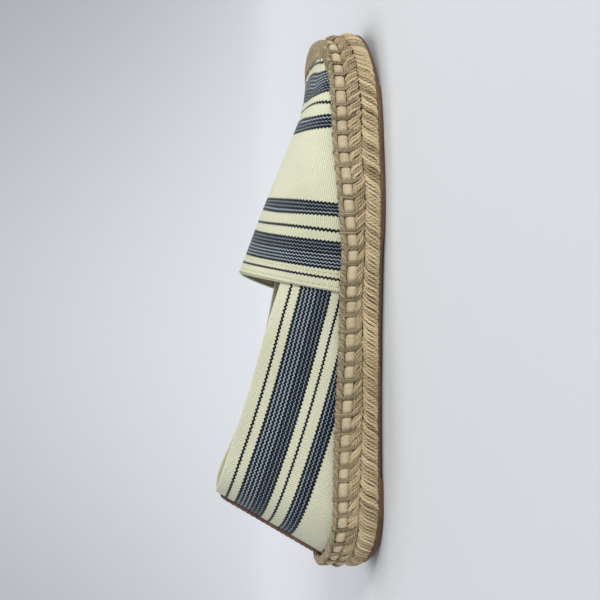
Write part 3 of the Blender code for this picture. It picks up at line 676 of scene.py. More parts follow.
def makeOutsole():
    # the rubber sheet with its treads: lines from under it up its side, whose corners are rounded
    along = soleAt(soleTurns)[0]
    under = sheetBottom(along) - treadDepth(along)
    top = sheetBottom(along) + shoe["sheet"]
    corner, (aside, below) = outsole["corner"], outsole["topCorner"]
    rows = [(corner * 2, under), (corner * 0.4, under + corner * 0.5), (0, under + corner * 1.6)]
    rows += [(0, (under + top) / 2 + corner), (0, top - below), (aside, top)]
    lines = [soleLine(shoe["outsoleInset"] + inside, height) for inside, height in rows]
    sweptSolid("outsole_rubber", lines, gumRubber, ("outsole",))


braid = {
    "yarn": 1.72, "radius": 0.70, "points": 11, "sides": 7, "seed": 11,
    "sink": 0.55,                                # mm that the yarns' middle lies inside the solid
    "pull": 0.75, "pullWidth": 1.1,              # mm: a blanket stitch pulls the upper row in
    "lowerShift": 8.6, "upperShift": -8.0,       # mm that a yarn moves round the sole on its way up the row
    "overhang": 0.5,                             # mm that the lowest row hangs over the rubber
    "upperShare": 0.87,                          # of the upper row, below the tape's lower edge
    "lowerSetback": 0.6, "upperSetback": 2.2,    # mm that the rows set back at the toe
    # the upper row's cap of 0.72 keeps its yarns darker than the lower row's: painted shade, as that row lies
    # recessed under the tape and cord
    "lowerTone": 1.0, "upperTone": 0.72,         # the palest yarn of each row, 1 for the palest jute
    "lean": 84, "tall": 0.47, "bend": 0.06,      # degrees up and down the bulge, shares of the row and shift
    "bundle": 3, "deeper": 0.22, "closer": 0.10,    # yarns, and mm of the outer ones inwards and together
    "stray": 0.13, "uneven": 0.12,               # mm that a yarn strays along the row and inwards
    "slantLuck": 0.06, "sizeLuck": 0.08,         # how far slant and thickness differ, as shares
    "ragged": 0.28,                              # mm that the yarns' ends stray at the seam
    "seamWave": (0.25, 5.3),                     # mm: the seam's soft waves, height and length over 2 pi
    "wobble": (0.10, 7),                         # mm and radians of a yarn's own wobble on its way up
    "thinEnds": 0.2,                             # how much thinner a yarn's ends are, as a share
    "fullHeight": 4.5, "thinnest": 0.75,         # mm: lower rows have thinner yarns, down to this share
}
core = {"sink": 1.0, "lean": 80, "lines": 7}    # mm inside the row, degrees up and down it, lines a row


def rowSetback(row, along):
    # how far a row of the braid lies inside the outline, more and more from the toe's start to its tip
    return braid[row + "Setback"] * smoothStep(shoe["setbackFrom"], 1, along)


def makeCore():
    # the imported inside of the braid, a little inside the strands, so that no gap between them shows through
    along = soleAt(soleTurns)[0]
    bottom = braidBottom(along)
    lines = [soleLine(shoe["outsoleInset"] + shoe["braidBulge"] + core["sink"], bottom)]
    for row, height in (("lower", lowerRow(along)), ("upper", upperRow(along))):
        for lean in np.radians(np.linspace(-core["lean"], core["lean"], core["lines"])):
            inset = shoe["braidBulge"] * (1 - math.cos(lean)) + core["sink"] + rowSetback(row, along)
            lines.append(soleLine(inset, bottom + height * (0.5 + 0.5 * math.sin(lean))))
        bottom = bottom + height + shoe["braidSeam"]
    seat, top = tapeInset(along) + shoe["tapeThickness"] + shoe["gap"], soleTop(along)
    lines += [soleLine(seat, tapeFoot(along)), soleLine(seat, top), soleLine(seat + 1.0, top + 0.1)]
    # the core takes the very dark jute, so that what shows between the strands is painted shade
    sweptSolid("midsole_core", lines, gapShadeCoreJute, ("midsole",))


# blanket stitches go round the sole, by hand, so each is up to a tenth of a pitch out of its place
stitchCount = round(roundLength / shoe["stitchPitch"])
stitchStray = np.random.default_rng(3).uniform(-0.10, 0.10, stitchCount)
stitchRuns = (np.arange(stitchCount) + 0.5 + stitchStray) * roundLength / stitchCount


def fromStitch(run):
    # 0 at a blanket stitch and 1 midway between two of them
    knots = np.concatenate([stitchRuns[-1:] - roundLength, stitchRuns, stitchRuns[:1] + roundLength])
    phase = np.interp(run % roundLength, knots, np.arange(stitchCount + 2))
    return np.abs((phase + 0.5) % 1.0 - 0.5) * 2


def stitchPull(run):
    # 1 at a blanket stitch and 0 between stitches
    return np.exp(-((fromStitch(run) / 2 * shoe["stitchPitch"] / braid["pullWidth"]) ** 2))


def makeBraid(row, seed):
    # yarns across one row, in bundles: the run round the sole moves by the row's shift on the way up, the
    # inset follows the row's bulge, bulge (1 - cos lean), and the height follows sin lean
    luck = np.random.default_rng(seed)
    count = int(roundLength / braid["yarn"]) // braid["bundle"] * braid["bundle"]
    one = (count, 1)
    place = (np.arange(count) * roundLength / count)[:, None]
    bundle = (np.arange(count) % braid["bundle"] - 1)[:, None]
    way = np.linspace(0, 1, braid["points"])[None]
    drift = luck.normal(0, braid["stray"], one) - braid["closer"] * bundle
    slant = braid[row + "Shift"] * (way - 0.5 + braid["bend"] * np.sin(2 * np.pi * way))
    run = place + drift + slant * (1 + luck.normal(0, braid["slantLuck"], one))
    along = alongAt(run)
    low, height = braidBottom(along), lowerRow(along)
    if row == "upper":
        low, height = low + height + shoe["braidSeam"], upperRow(along) * braid["upperShare"]
    else:
        low, height = low - braid["overhang"], height + braid["overhang"]
    lean = np.radians(braid["lean"] * (2 * way - 1))
    inset = shoe["braidBulge"] * (1 - np.cos(lean)) + braid["sink"] + braid["deeper"] * bundle**2
    uneven, (wobble, turn) = luck.normal(0, braid["uneven"], one), braid["wobble"]
    inset = inset + uneven + wobble * np.sin(way * turn + luck.uniform(0, 6, one))
    if row == "upper":
        inset = inset + braid["pull"] * stitchPull(run) * way
    inset = inset + rowSetback(row, along)
    level = low + height * (0.5 + braid["tall"] * np.sin(lean))
    atSeam = way**4 if row == "lower" else (1 - way) ** 4
    wave, length = braid["seamWave"]
    level = level + (luck.normal(0, braid["ragged"], one) + wave * np.sin(place / length)) * atSeam
    thin = 1 - braid["thinEnds"] * np.abs(2 * way - 1) ** 3
    thin = thin * np.clip(height / braid["fullHeight"], braid["thinnest"], 1.0)
    radius = braid["radius"] * (1 + luck.normal(0, braid["sizeLuck"], one)) * thin
    points, faces, uv = tubes(onSide(run, inset, level), radius, outwardAt(run), braid["sides"])
    # each yarn's tone differs at random up to its row's cap; the upper row's lower cap is painted shade
    tone = luck.uniform(0.0, braid[row + "Tone"], (count, 1, 1)) * np.ones(points.shape[:3])
    addPiece("braid_" + row + "_row", points, faces, [braidJute], ("midsole",), uv=uv,
             tones=tone)


tape = {
    "lower": 0.9, "sink": 1.15, "puff": 1.5,     # mm: below its solid's foot, in at a stitch, out between two
    "columns": 20, "levels": 15,                 # points between two stitches, and up the tape
    "least": 0.55, "drop": 0.24,                 # shares at a stitch: its height, and its foot's rise
}


def makeTape():
    # cotton tape: a band that swells between blanket stitches like a row of small pillows, and stands out by
    # puff (1 - |level| ^ 2.2)
    columns = stitchCount * tape["columns"]
    run = np.arange(columns) * roundLength / columns
    along = alongAt(run)
    bead = smoothStep(0.0, 0.6, fromStitch(run))
    swell = np.sqrt(1 - (1 - fromStitch(run)) ** 2.4)
    level = np.linspace(-1, 1, tape["levels"])[:, None]
    puff = (1 - np.abs(level) ** 2.2) * bead
    tall = (shoe["tapeHeight"] + tape["lower"]) * (tape["least"] + (1 - tape["least"]) * swell)
    foot = tapeFoot(along) - tape["lower"] + (1 - swell) * tape["drop"] * shoe["tapeHeight"]
    height = foot + tall * (0.5 + 0.5 * level)
    front = onSide(run[None], tapeInset(along) + tape["sink"] - tape["puff"] * puff, height)
    back = onSide(run[None], tapeInset(along) + shoe["tapeThickness"] + 0.6, height[[-1, 0]])
    lines = np.concatenate([front, back])
    at = np.arange(lines.shape[0] * columns).reshape(-1, columns)
    uv = np.stack([np.broadcast_to(run, at.shape), 0.3 * (at // columns)], -1)
    ahead, above = np.roll(at, -1, 1), np.roll(at, -1, 0)
    faces = np.stack([at, ahead, np.roll(above, -1, 1), above], -1).reshape(-1, 4)
    addPiece("tape_beads", lines, [faces], [tapeCotton], ("foxing_tape",), uv=uv)


def smoothAlong(values, times):
    # rounds the bends of many routes at once: each inner point goes to the mean of itself and its neighbours
    for _ in range(times):
        inner = (values[:, :-2] + 2 * values[:, 1:-1] + values[:, 2:]) / 4
        values = np.concatenate([values[:, :1], inner, values[:, -1:]], 1)
    return values


def cordTall(along):
    # the cord stands up to 1.45 times as tall along the waist, where the canvas pulls least
    waist = smoothStep(0.14, 0.30, along) * (1 - smoothStep(0.52, 0.66, along))
    return shoe["cordHeight"] * (1 + 0.45 * waist)


bars = {
    "points": 25, "sides": 7, "seed": 5,
    "ply": 0.44, "apart": 0.36, "twist": 0.033,  # mm: a ply's radius, its way from the middle, and its twist
    "lap": 0.26, "row": 0.52,                    # shares of the way: end of the cord, start of the upper row
    "slant": 3.4, "stray": 0.55,                 # mm round the sole: on the row, and by chance over the cord
    "leanTop": 84, "leanTurn": 150,              # degrees of the row's bulge: a bar's first, and how many
    "sunk": 0.2, "inTape": 0.25,                 # mm: into the cord's top, and into the tape
    "short": 1.4, "inRow": 0.35, "dive": 2.2,    # mm: short of the upper's edge, into the row and the seam
    "slantLuck": 0.12, "sizeLuck": 0.06,         # how far slant and thickness differ, as shares
}


def makeStitchBars():
    # blanket stitches: two plies side by side that run from inside the cord over it, down across the tape
    # between two beads and on over the upper row of braid, slanting, to the dark seam
    luck = np.random.default_rng(bars["seed"])
    one = (stitchCount, 1)
    way = np.linspace(0, 1, bars["points"])[None]
    over = 1 - smoothStep(0.0, bars["lap"], way)
    last = np.clip((way - bars["row"]) / (1 - bars["row"]), 0, 1)
    onRow = way > bars["row"]
    slant = bars["slant"] * last**1.3 * (1 + luck.normal(0, bars["slantLuck"], one))
    run = stitchRuns[:, None] + luck.normal(0, bars["stray"], one) * (1 - way) + slant
    along = alongAt(run)
    top, rowTop = soleTop(along) + shoe["gap"] + cordTall(along) - bars["sunk"], tapeFoot(along)
    lean = np.radians(bars["leanTop"] - bars["leanTurn"] * last)
    level = top + (rowTop - top) * np.clip((way - bars["lap"]) / (bars["row"] - bars["lap"]), 0, 1)
    level = np.where(onRow, rowTop - upperRow(along) * (0.5 - braid["tall"] * np.sin(lean)), level)
    inset = tapeInset(along) + bars["inTape"] + over * (upperInset(along) - tapeInset(along) - bars["short"])
    bulge = shoe["braidBulge"] * (1 - np.cos(lean)) + bars["inRow"] + rowSetback("upper", along)
    inset = np.where(onRow, bulge + bars["dive"] * np.clip((last - 0.85) / 0.15, 0, 1), inset)
    level, inset = smoothAlong(level, 3), smoothAlong(inset, 2)
    facing = unit(outwardAt(run) + np.array([0, 0, 1.3]) * over[..., None])
    centres = onSide(run, inset, level)
    beside = unit(np.cross(unit(np.gradient(centres, axis=1)), facing))
    spin = np.cos(way * 9 + luck.uniform(0, 6, one))[..., None]
    aside = beside * (bars["apart"] + bars["twist"] * spin) + facing * 1.2 * bars["twist"] * spin
    plies = np.concatenate([centres + aside, centres - aside])
    radius = bars["ply"] * (1 + luck.normal(0, bars["sizeLuck"], (2 * stitchCount, 1)))
    points, faces, uv = tubes(plies, radius, np.tile(facing, (2, 1, 1)), bars["sides"])
    tone = luck.uniform(0.0, 0.8, (2 * stitchCount, 1, 1)) * np.ones(points.shape[:3])
    addPiece("blanket_stitches", points, faces, [cordJute], uv=uv, tones=tone)


cord = {
    "plies": 4, "ply": 0.74, "pitch": 8.6,       # mm: a ply's radius, and one turn of the plies
    "columns": 1200, "sides": 7, "seed": 8,
    "wide": 0.85, "tall": 0.72, "least": 0.35,   # ply radii from the cord's side and top, and least mm
    "out": 0.1, "pullIn": 0.2, "pullDown": 0.45,    # mm: outside the tape, and pulled by a stitch
    "uneven": 0.08, "fuller": 0.15, "fullWidth": (3.2, 5.0),    # shares of a ply, more where the cord is wide
}


def makeCord():
    # twisted cord: plies on an ellipse that runs round the sole, middle + wide cos t + tall sin t, with one
    # turn each pitch
    run = np.arange(cord["columns"]) * roundLength / cord["columns"]
    along = alongAt(run)
    tallness, width = cordTall(along), cordWidth(along)
    wide = np.maximum(width / 2 - cord["ply"] * cord["wide"], cord["least"])
    tall = np.maximum(tallness / 2 - cord["ply"] * cord["tall"], cord["least"])
    place, foot = tapeInset(along) - cord["out"] + width / 2, soleTop(along) + shoe["gap"] + tallness / 2
    fuller = cord["fuller"] * smoothStep(*cord["fullWidth"], width)
    luck = np.random.default_rng(cord["seed"])
    spoke = np.arange(cord["sides"]) * 2 * np.pi / cord["sides"]
    rings, tones = [], []
    for k in range(cord["plies"]):
        angle = 2 * np.pi * (round(roundLength / cord["pitch"]) * run / roundLength + k / cord["plies"])
        inset = place - wide * np.cos(angle) + cord["pullIn"] * stitchPull(run)
        level = foot + tall * np.sin(angle) - cord["pullDown"] * stitchPull(run)
        centre = onSide(run, inset, level)
        step = unit(np.roll(centre, -1, 0) - np.roll(centre, 1, 0))
        across = unit(np.cross(step, outwardAt(run)))
        up = np.cross(across, step)
        size = cord["ply"] * (1 + cord["uneven"] * np.sin(run * 0.9 + k) + fuller)
        ring = np.cos(spoke)[:, None] * across[:, None] + np.sin(spoke)[:, None] * up[:, None]
        rings.append(centre[:, None] + size[:, None, None] * ring)
        tones.append(np.full(ring.shape[:2], luck.uniform(0.1, 0.8)))
    points = np.array(rings)
    at = np.arange(points.size // 3).reshape(points.shape[:3])
    ahead, side = np.roll(at, -1, 1), np.roll(at, -1, 2)
    faces = np.stack([at, ahead, np.roll(ahead, -1, 2), side], -1).reshape(-1, 4)
    uv = np.stack(np.broadcast_arrays(run[None, :, None], spoke * 2 / np.pi, at)[:2], -1)
    addPiece("edge_cord_plies", points, [faces], [cordJute], ("edge_cord",), uv=uv,
             tones=np.array(tones))


rim = {
    "from": 0.855, "full": 0.950,                # places along the sole between which the rim grows
    "crest": 2.5,                                # mm above the cord's foot
    "canvasFrom": 112.5, "lean": 0.10,           # mm before the shoe's middle to the canvas, and its slant
    "pitch": 1.35, "radius": 0.72, "sides": 7, "seed": 21,
    "slant": 0.5, "stray": 0.15, "ragged": 0.35,    # mm: each strand's slant, and how it and its end stray
    "thick": 0.5, "uneven": 0.07,                # mm that a strand lies off the canvas, and by chance
    "sizeLuck": 0.08,                            # how far the strands' thickness differs, as a share
    "out": 0.2, "sunk": 0.4, "arc": (0.06, 0.72),    # mm: outside and below the tape's edge, and half turns
    "overPoints": 7, "canvasPoints": 9, "ribPoints": 60,
}


def makeToeRim():
    # jute strands laid over the toe's edge, square to it: each climbs from the tape's top over a low crest,
    # crest sin(t)^0.7, and goes on up the vamp's rib until it reaches the line where the canvas comes out
    luck = np.random.default_rng(rim["seed"])
    places = np.arange(0, roundLength, rim["pitch"])
    grown = smoothStep(rim["from"], rim["full"], alongAt(places))
    places, grown = places[grown > 0.02], grown[grown > 0.02][:, None]
    one = (len(places), 1)
    way = np.linspace(0, 1, rim["overPoints"])[None]
    run = places[:, None] + luck.normal(0, rim["stray"], one) + rim["slant"] * (way - 0.5)
    along = alongAt(run)
    crest = shoe["cordHeight"] + (rim["crest"] - shoe["cordHeight"]) * grown
    inset = tapeInset(along) - rim["out"] + (upperInset(along) - tapeInset(along)) * way
    arc = np.sin(np.pi * (rim["arc"][0] + rim["arc"][1] * way))
    level = soleTop(along) - rim["sunk"] + crest * arc**0.7
    over = onSide(run, inset, level)
    rise = np.linspace(0, np.pi / 2, rim["ribPoints"])
    turns = np.interp(places, fineRun, fineTurn)
    ribs = vampForm(turns, rise)
    line = rim["canvasFrom"] - rim["lean"] * ribs[..., 0] + luck.normal(0, rim["ragged"], one)
    last = rise[np.clip((ribs[..., 1] > line).sum(1), 2, rim["ribPoints"] - 2)][:, None]
    onCanvas = vampForm(turns, last * np.linspace(0.25, 1, rim["canvasPoints"])[None])
    thick = rim["thick"] * (1 - np.linspace(0, 1, rim["canvasPoints"])[None] ** 4)
    onCanvas[..., 2] += shoe["hemStep"] + thick + luck.normal(0, rim["uneven"], one)
    centres = smoothAlong(np.concatenate([over, onCanvas], 1), 2)
    bent = np.linspace(0, 1, centres.shape[1])[None, :, None]
    facing = unit(outwardAt(places)[:, None] * (1 - bent) + np.array([0, 0, 1.0]) * (0.15 + bent))
    radius = rim["radius"] * (1 + luck.normal(0, rim["sizeLuck"], one)) * (0.6 + 0.4 * grown)
    points, faces, uv = tubes(centres, radius, facing, rim["sides"])
    tone = luck.uniform(0, 1, (len(places), 1, 1)) * np.ones(points.shape[:3])
    # the rim's strands take the darker jute: painted shade
    addPiece("toe_rim_strands", points, faces, [shadedRimJute], uv=uv, tones=tone)


# mm: how far in from the sock's edge and below its top the lines of its rounded edge lie
insoleEdge = [(0, 1.0), (0.25, 0.4), (0.9, 0)]


def makeInsole():
    # the sock: its edge keeps clear of the upper's wall, more at the toe, and it lies level across the sole
    along, plan, out = soleAt(soleTurns)
    front = np.clip((along - shoe["insoleTaper"]) / (1 - shoe["insoleTaper"]), 0, 1)
    edge = upperInset(along) + shoe["wall"] + shoe["insoleClearance"] + shoe["insoleToeGap"] * front
    place = (plan[:, 1] - out[:, 1] * edge) / shoe["length"] + 0.5
    bottom = soleTop(place) + shoe["insoleBed"]
    top = bottom + shoe["insoleThickness"]
    lines = [soleLine(edge, bottom)] + [soleLine(edge + inside, top - below) for inside, below in insoleEdge]
    sweptSolid("insole_sock", lines, sockCotton, ("insole",), across=24)


# the upper
upper = {
    "vampRibs": 190, "vampRows": 64, "rowEase": 1.15,     # ribs on each side, rows up a rib, closer low down
    "quarterRibs": 150, "quarterRows": 40,
    "underlap": 9.0, "lapEase": 3.0,             # mm from the hem where the vamp's inner face keeps clear
    "lapTop": (0.92, 1.06), "lapGap": 0.08,      # shares of the quarter's height, and mm outside the form
    "reach": 0.075, "reachRibs": 8,              # turn that the quarter goes on under the vamp
    "hemRound": 5, "hemCloth": 0.4,              # lines of a rounded edge, and mm of cloth between them
    "wave": 0.55, "waveLength": 26,              # mm: the quarter's slack waves, height and length over 2 pi
    "sunk": 0.12,                                # mm that the quarter lies inside its form
    "easeHeel": (18, 45), "easeVamp": (30, 8),   # mm from the heel's middle and from the vamp without waves
}

# slackness: place along the sole, its spread, rise, its spread, mm, lean, and how much more on the
# little toe's side; a long shallow hollow on each side of the ridge behind the toes, a narrow fold, and a
# fuller corner at the hem
vampCreases = [
    (0.66, 0.100, 0.95, 0.28, -0.90, 0.0, 0.0),
    (0.82, 0.018, 0.75, 0.50, -0.45, 0.1, 0.3),
    (0.50, 0.035, 0.62, 0.35, 0.90, 0.0, 0.0),
]


def gridNormals(points, centre):
    # a grid's normals, turned away from a point or a line inside it
    normal = unit(np.cross(np.gradient(points, axis=0), np.gradient(points, axis=1)))
    return normal * np.sign(((points - centre) * normal).sum(-1, keepdims=True))


def lengthsAlong(points):
    # the way along a line of points, from its first one
    return np.concatenate([[0], np.cumsum(np.linalg.norm(np.diff(points, axis=0), axis=1))])


def vampSlack(turn, rise):
    # the sum of the creases, each depth (1 + more side) exp(-(way along / spread)^2 - (way up / spread)^2)
    along = soleAt(turn)[0][:, None]
    side = np.where(np.asarray(turn) % (2 * np.pi) <= np.pi, 1.0, -1.0)[:, None]
    slack = 0
    for place, spread, up, upSpread, depth, lean, more in vampCreases:
        bump = np.exp(-(((along - place - lean * rise) / spread) ** 2) - ((rise - up) / upSpread) ** 2)
        slack = slack + depth * (1 + more * side) * bump
    return slack


def roundedEdge(outer, inner, beyond, half):
    # half a turn from one line to another: middle + (outer - inner) / 2 cos t + beyond half sin t
    angle = np.linspace(0, np.pi, upper["hemRound"] + 2)[1:-1, None, None]
    return (outer + inner) / 2 + (outer - inner) / 2 * np.cos(angle) + beyond * half * np.sin(angle)


def makeVamp():
    # ribs from the hem on the little toe's side round the toe to the hem on the other side, each from the
    # sole to the ridge; outer and inner faces lie a hem step outside and the rest of the wall inside the form
    half = upper["vampRibs"]
    side = throatTurn + (np.pi - throatTurn) * np.linspace(0, 1, half + 1)
    turn = np.concatenate([side, (2 * np.pi - side[:-1])[::-1]])
    rise = np.pi / 2 * np.linspace(0, 1, upper["vampRows"]) ** upper["rowEase"]
    form = vampForm(turn, rise)
    ribs, rows = form.shape[:2]
    alongs = soleAt(turn)[0]
    centre = np.stack([middleLine(alongs), 0.86 * form[:, 0, 1], np.full(ribs, 18.0)], -1)
    normal = gridNormals(form, centre[:, None])
    ridgeStep = unit(np.gradient(form[:half + 1, -1], axis=0))
    onRidge = unit(np.array([0, 0, 1.0]) - ridgeStep * ridgeStep[:, 2:])
    normal[:half + 1, -1], normal[half:, -1] = onRidge, onRidge[::-1]
    # near the ridge each rib's normals are blended with its twin's on the other side
    blend = smoothStep(0.80, 1.0, np.linspace(0, 1, rows))[None, :, None] * 0.5
    normal = unit(normal * (1 - blend) + normal[::-1] * blend)
    normal[:, 0] = unit(normal[:, 0] * np.array([1, 1, 0.0]))
    form = form + normal * vampSlack(turn, rise[None])[..., None]

    # fabric: down is mm from the hem, across is what is left of each step's length
    way = (alongs - shoe["throatSide"]) / (1 - shoe["throatSide"])
    at = shoe["throatTop"] + (shoe["ridgeFront"] - shoe["throatTop"]) * way
    steps = np.linalg.norm(np.diff(form, axis=1), axis=2)
    share = np.concatenate([np.zeros((ribs, 1)), np.cumsum(steps, 1)], 1)
    share /= share[:, -1:]
    atSole, onTop = through(fabricAtSole, 1, alongs)[:, None], through(fabricOnRidge, 1, at)[:, None]
    down = atSole * (1 - share) + onTop * share
    sideways = np.sqrt(np.maximum(steps**2 - np.diff(down, axis=1) ** 2, 0))
    fromRidge = np.concatenate([np.cumsum(sideways[:, ::-1], 1)[:, ::-1], np.zeros((ribs, 1))], 1)
    across = fromRidge * np.where(np.arange(ribs) <= half, 1.0, -1.0)[:, None]

    # near the hem the quarter lies under the vamp, so the vamp's inner face stays out of the quarter's way
    lap = 1 - smoothStep(upper["underlap"], upper["underlap"] + upper["lapEase"], down)
    lap = lap * (1 - smoothStep(*upper["lapTop"], rise / lowTurn())[None])
    inside = (shoe["wall"] - shoe["hemStep"]) * (1 - lap) - upper["lapGap"] * lap
    outer, inner = form + normal * shoe["hemStep"], form - normal * inside[..., None]
    points = [outer.reshape(-1, 3), inner.reshape(-1, 3)]
    uvs = [np.stack([across, down], -1).reshape(-1, 2)] * 2
    start = ribs * rows
    index = np.arange(start).reshape(ribs, rows)
    joined = index.copy()
    joined[half + 1:, -1] = index[:half, -1][::-1]
    weld = [joined.ravel(), joined.ravel() + start]
    outside = gridFaces(ribs, rows)
    faces, paint = [outside, outside[:, ::-1] + start], [np.zeros(len(outside)), np.ones(len(outside))]
    start *= 2
    # rounded hems: half a turn from the outer to the inner face, half the wall beyond the edge
    for rib, inward in ((0, 1), (ribs - 1, ribs - 2)):
        thick = np.linalg.norm(outer[rib] - inner[rib], axis=1)[:, None] / 2
        ring = roundedEdge(outer[rib], inner[rib], unit(form[rib] - form[inward]), thick)
        own = start + np.arange(ring.size // 3).reshape(-1, rows)
        cloth = -upper["hemCloth"] * (1 + (own - start) // rows)
        points.append(ring.reshape(-1, 3))
        uvs.append(np.stack([np.broadcast_to(across[rib], own.shape), cloth], -1).reshape(-1, 2))
        full = np.concatenate([index[rib][None], own, index[rib][None] + ribs * rows])
        strip = np.stack([full[:-1, :-1], full[:-1, 1:], full[1:, 1:], full[1:, :-1]], -1).reshape(-1, 4)
        faces.append(strip if rib == 0 else strip[:, ::-1])
        paint.append(np.zeros(len(strip)))
        start += own.size
        # the two hems meet on the ridge, so the second one's end is joined to the first one's
        if rib:
            own[:, -1] -= own.size
        weld.append(own.ravel())
    # the foot, between the faces
    low = np.stack([index[:, 0], index[:, 0] + ribs * rows])
    foot = np.stack([low[0, :-1], low[0, 1:], low[1, 1:], low[1, :-1]], -1)[:, ::-1]
    faces.append(foot)
    paint.append(np.ones(len(foot)))
    addPiece("vamp", np.concatenate(points), faces, [canvas, shadedLiningCotton], ("upper",),
             uv=np.concatenate(uvs), weld=np.concatenate(weld), paint=np.concatenate(paint))
    return outer, normal, down


def makeQuarter():
    # one strip of canvas from one side of the vamp round the heel to the other, folded over at the collar:
    # each rib is a closed line up the outer face, round the edge and down the inner face
    share = np.linspace(0, 1, upper["quarterRows"])
    signed = throatTurn * np.linspace(-1, 1, 2 * upper["quarterRibs"] + 1)
    # under the vamp the strip goes on along the vamp's form
    reach = throatTurn + np.linspace(0, upper["reach"], upper["reachRibs"])[1:]
    ahead, behind = (vampForm(side * reach, lowTurn() * share) for side in (1, -1))
    form = np.concatenate([behind[::-1], quarterForm(signed, share), ahead])
    ribs, rows = form.shape[:2]
    centre = np.stack([middleLine(np.full(ribs, 0.3)), form[:, 0, 1] * 0.8, np.full(ribs, 20.0)], -1)
    normal = gridNormals(form, centre[:, None])
    normal[:, 0] = unit(normal[:, 0] * np.array([1, 1, 0.0]))
    # slack: long soft waves along the sides, none at the heel, the vamp, the foot and the collar's edge
    run = lengthsAlong(form[:, rows // 2])
    middle = run[ribs // 2]
    away = np.abs(run - middle)
    fromVamp = [middle - part for part in upper["easeVamp"]]
    ease = smoothStep(*upper["easeHeel"], away) * (1 - smoothStep(*fromVamp, away))
    waves = upper["wave"] * np.sin((run - middle)[:, None] / upper["waveLength"] + 1.3 * share)
    waves = waves * np.sin(np.pi * share) ** 1.2 * ease[:, None]
    form = form + normal * (waves - upper["sunk"])[..., None]

    # fabric: down is the way from the nearest point of the collar's edge, across that point's place on it
    edge = form[:, -1]
    far = np.stack([np.linalg.norm(form[:, row, None] - edge[None], axis=2) for row in range(rows)], 1)
    edgeRun = lengthsAlong(edge)
    down = np.interp(far.min(2), *quarterCloth)
    across = (edgeRun - edgeRun[ribs // 2])[far.argmin(2)]
    # the nearest edge point jumps from rib to rib, so the way along the stripe is smoothed over nine ribs
    padded = np.pad(across, ((4, 4), (0, 0)), mode="reflect", reflect_type="odd")
    across = np.stack([np.convolve(padded[:, row], np.ones(9) / 9, mode="valid") for row in range(rows)], 1)

    inner = form - normal * shoe["wall"]
    beyond = unit(form[:, -1] - form[:, -2])
    ring = roundedEdge(form[:, -1], inner[:, -1], beyond, shoe["wall"] / 2).swapaxes(0, 1)
    lines = ring.shape[1]
    fold = np.broadcast_to(-upper["hemCloth"] * np.arange(1, lines + 1), (ribs, lines))
    band = np.concatenate([form, ring, inner[:, ::-1]], 1)
    down = np.concatenate([down, fold, down[:, ::-1]], 1)
    across = np.concatenate([across, np.repeat(across[:, -1:], lines, 1), across[:, ::-1]], 1)
    at = np.arange(down.size).reshape(down.shape)
    over = np.roll(at, -1, 1)
    faces = np.stack([at[:-1], at[1:], over[1:], over[:-1]], -1)
    paint = np.zeros(faces.shape[:2])
    paint[:, rows + lines:] = 1
    sets = [faces.reshape(-1, 4), np.stack([at[0], at[-1, ::-1]])]
    addPiece("quarter", band, sets, [canvas, shadedLiningCotton], ("upper",),
             uv=np.stack([across, down], -1), paint=np.concatenate([paint.ravel(), [1, 1]]))


# one sewing thread: points and sides, mm before the first stitch, and radii that its ends lie in the cloth
thread = {"points": 6, "sides": 6, "first": 0.3, "sunk": 0.7}


def stitchRow(path, facing, settings):
    # short threads end to end along a path, each a low arch: path + facing * (height sin(pi t) - sunk)
    run = lengthsAlong(path)
    way = np.linspace(0, 1, thread["points"])
    pitch = settings["stitch"] + settings["stitchGap"]
    starts = np.arange(thread["first"], run[-1] - settings["stitch"], pitch)
    at = starts[:, None] + settings["stitch"] * way
    out = unit(interpEach(at, run, facing))
    lift = settings["stitchRadius"] * (settings["stitchArch"] * np.sin(np.pi * way) - thread["sunk"])
    return interpEach(at, run, path) + out * lift[:, None], out


def addStitches(name, rows, settings, material):
    # all rows of one seam in one piece, each thread a thin strand
    centres, facing = (np.concatenate(part) for part in zip(*rows))
    points, faces, uv = tubes(centres, settings["stitchRadius"], facing, thread["sides"])
    addPiece(name, points, faces, [material], uv=uv)


hem = {
    "rows": (2.1, 8.4), "ribs": 40,              # mm from the hem, and ribs of the vamp that reach over them
    "stitch": 1.9, "stitchGap": 0.75, "stitchRadius": 0.26, "stitchArch": 1.5,
}


def makeHemStitches(outer, normal, down):
    # two rows of stitches along the vamp's hem on each side: each row follows one line of the cloth
    rows = []
    both = np.concatenate([outer, normal], -1)
    for ribs in (slice(0, hem["ribs"]), slice(-1, -hem["ribs"] - 1, -1)):
        surface, cloth = both[ribs, 1:], down[ribs, 1:]
        for far in hem["rows"]:
            line = np.array([interpEach(far, cloth[:, j], surface[:, j]) for j in range(cloth.shape[1])])
            rows.append(stitchRow(line[:, :3], unit(line[:, 3:]), hem))
    addStitches("hem_stitches", rows, hem, creamThread)


heelStrip = {
    "columns": 21, "rows": 48,
    "foot": 2.0, "top": 0.5,                     # mm: above the cord's foot, and below the solid's top
    "behind": 0.15, "lift": 0.25,                # mm outside the canvas: its back, and its face at the edge
    "sideEdge": 14, "endEdge": 40,               # powers: how sharply the strip thins at its sides and ends
    "reach": 0.42, "reachRibs": 121, "reachRows": 60,    # the quarter's form behind it, shares of its turn
    "stitch": 2.0, "stitchGap": 0.7, "stitchRadius": 0.22, "stitchArch": 0.7,
    "seamColumn": 2, "seamRow": 3,               # columns and rows in from the edge at which the seams run
}


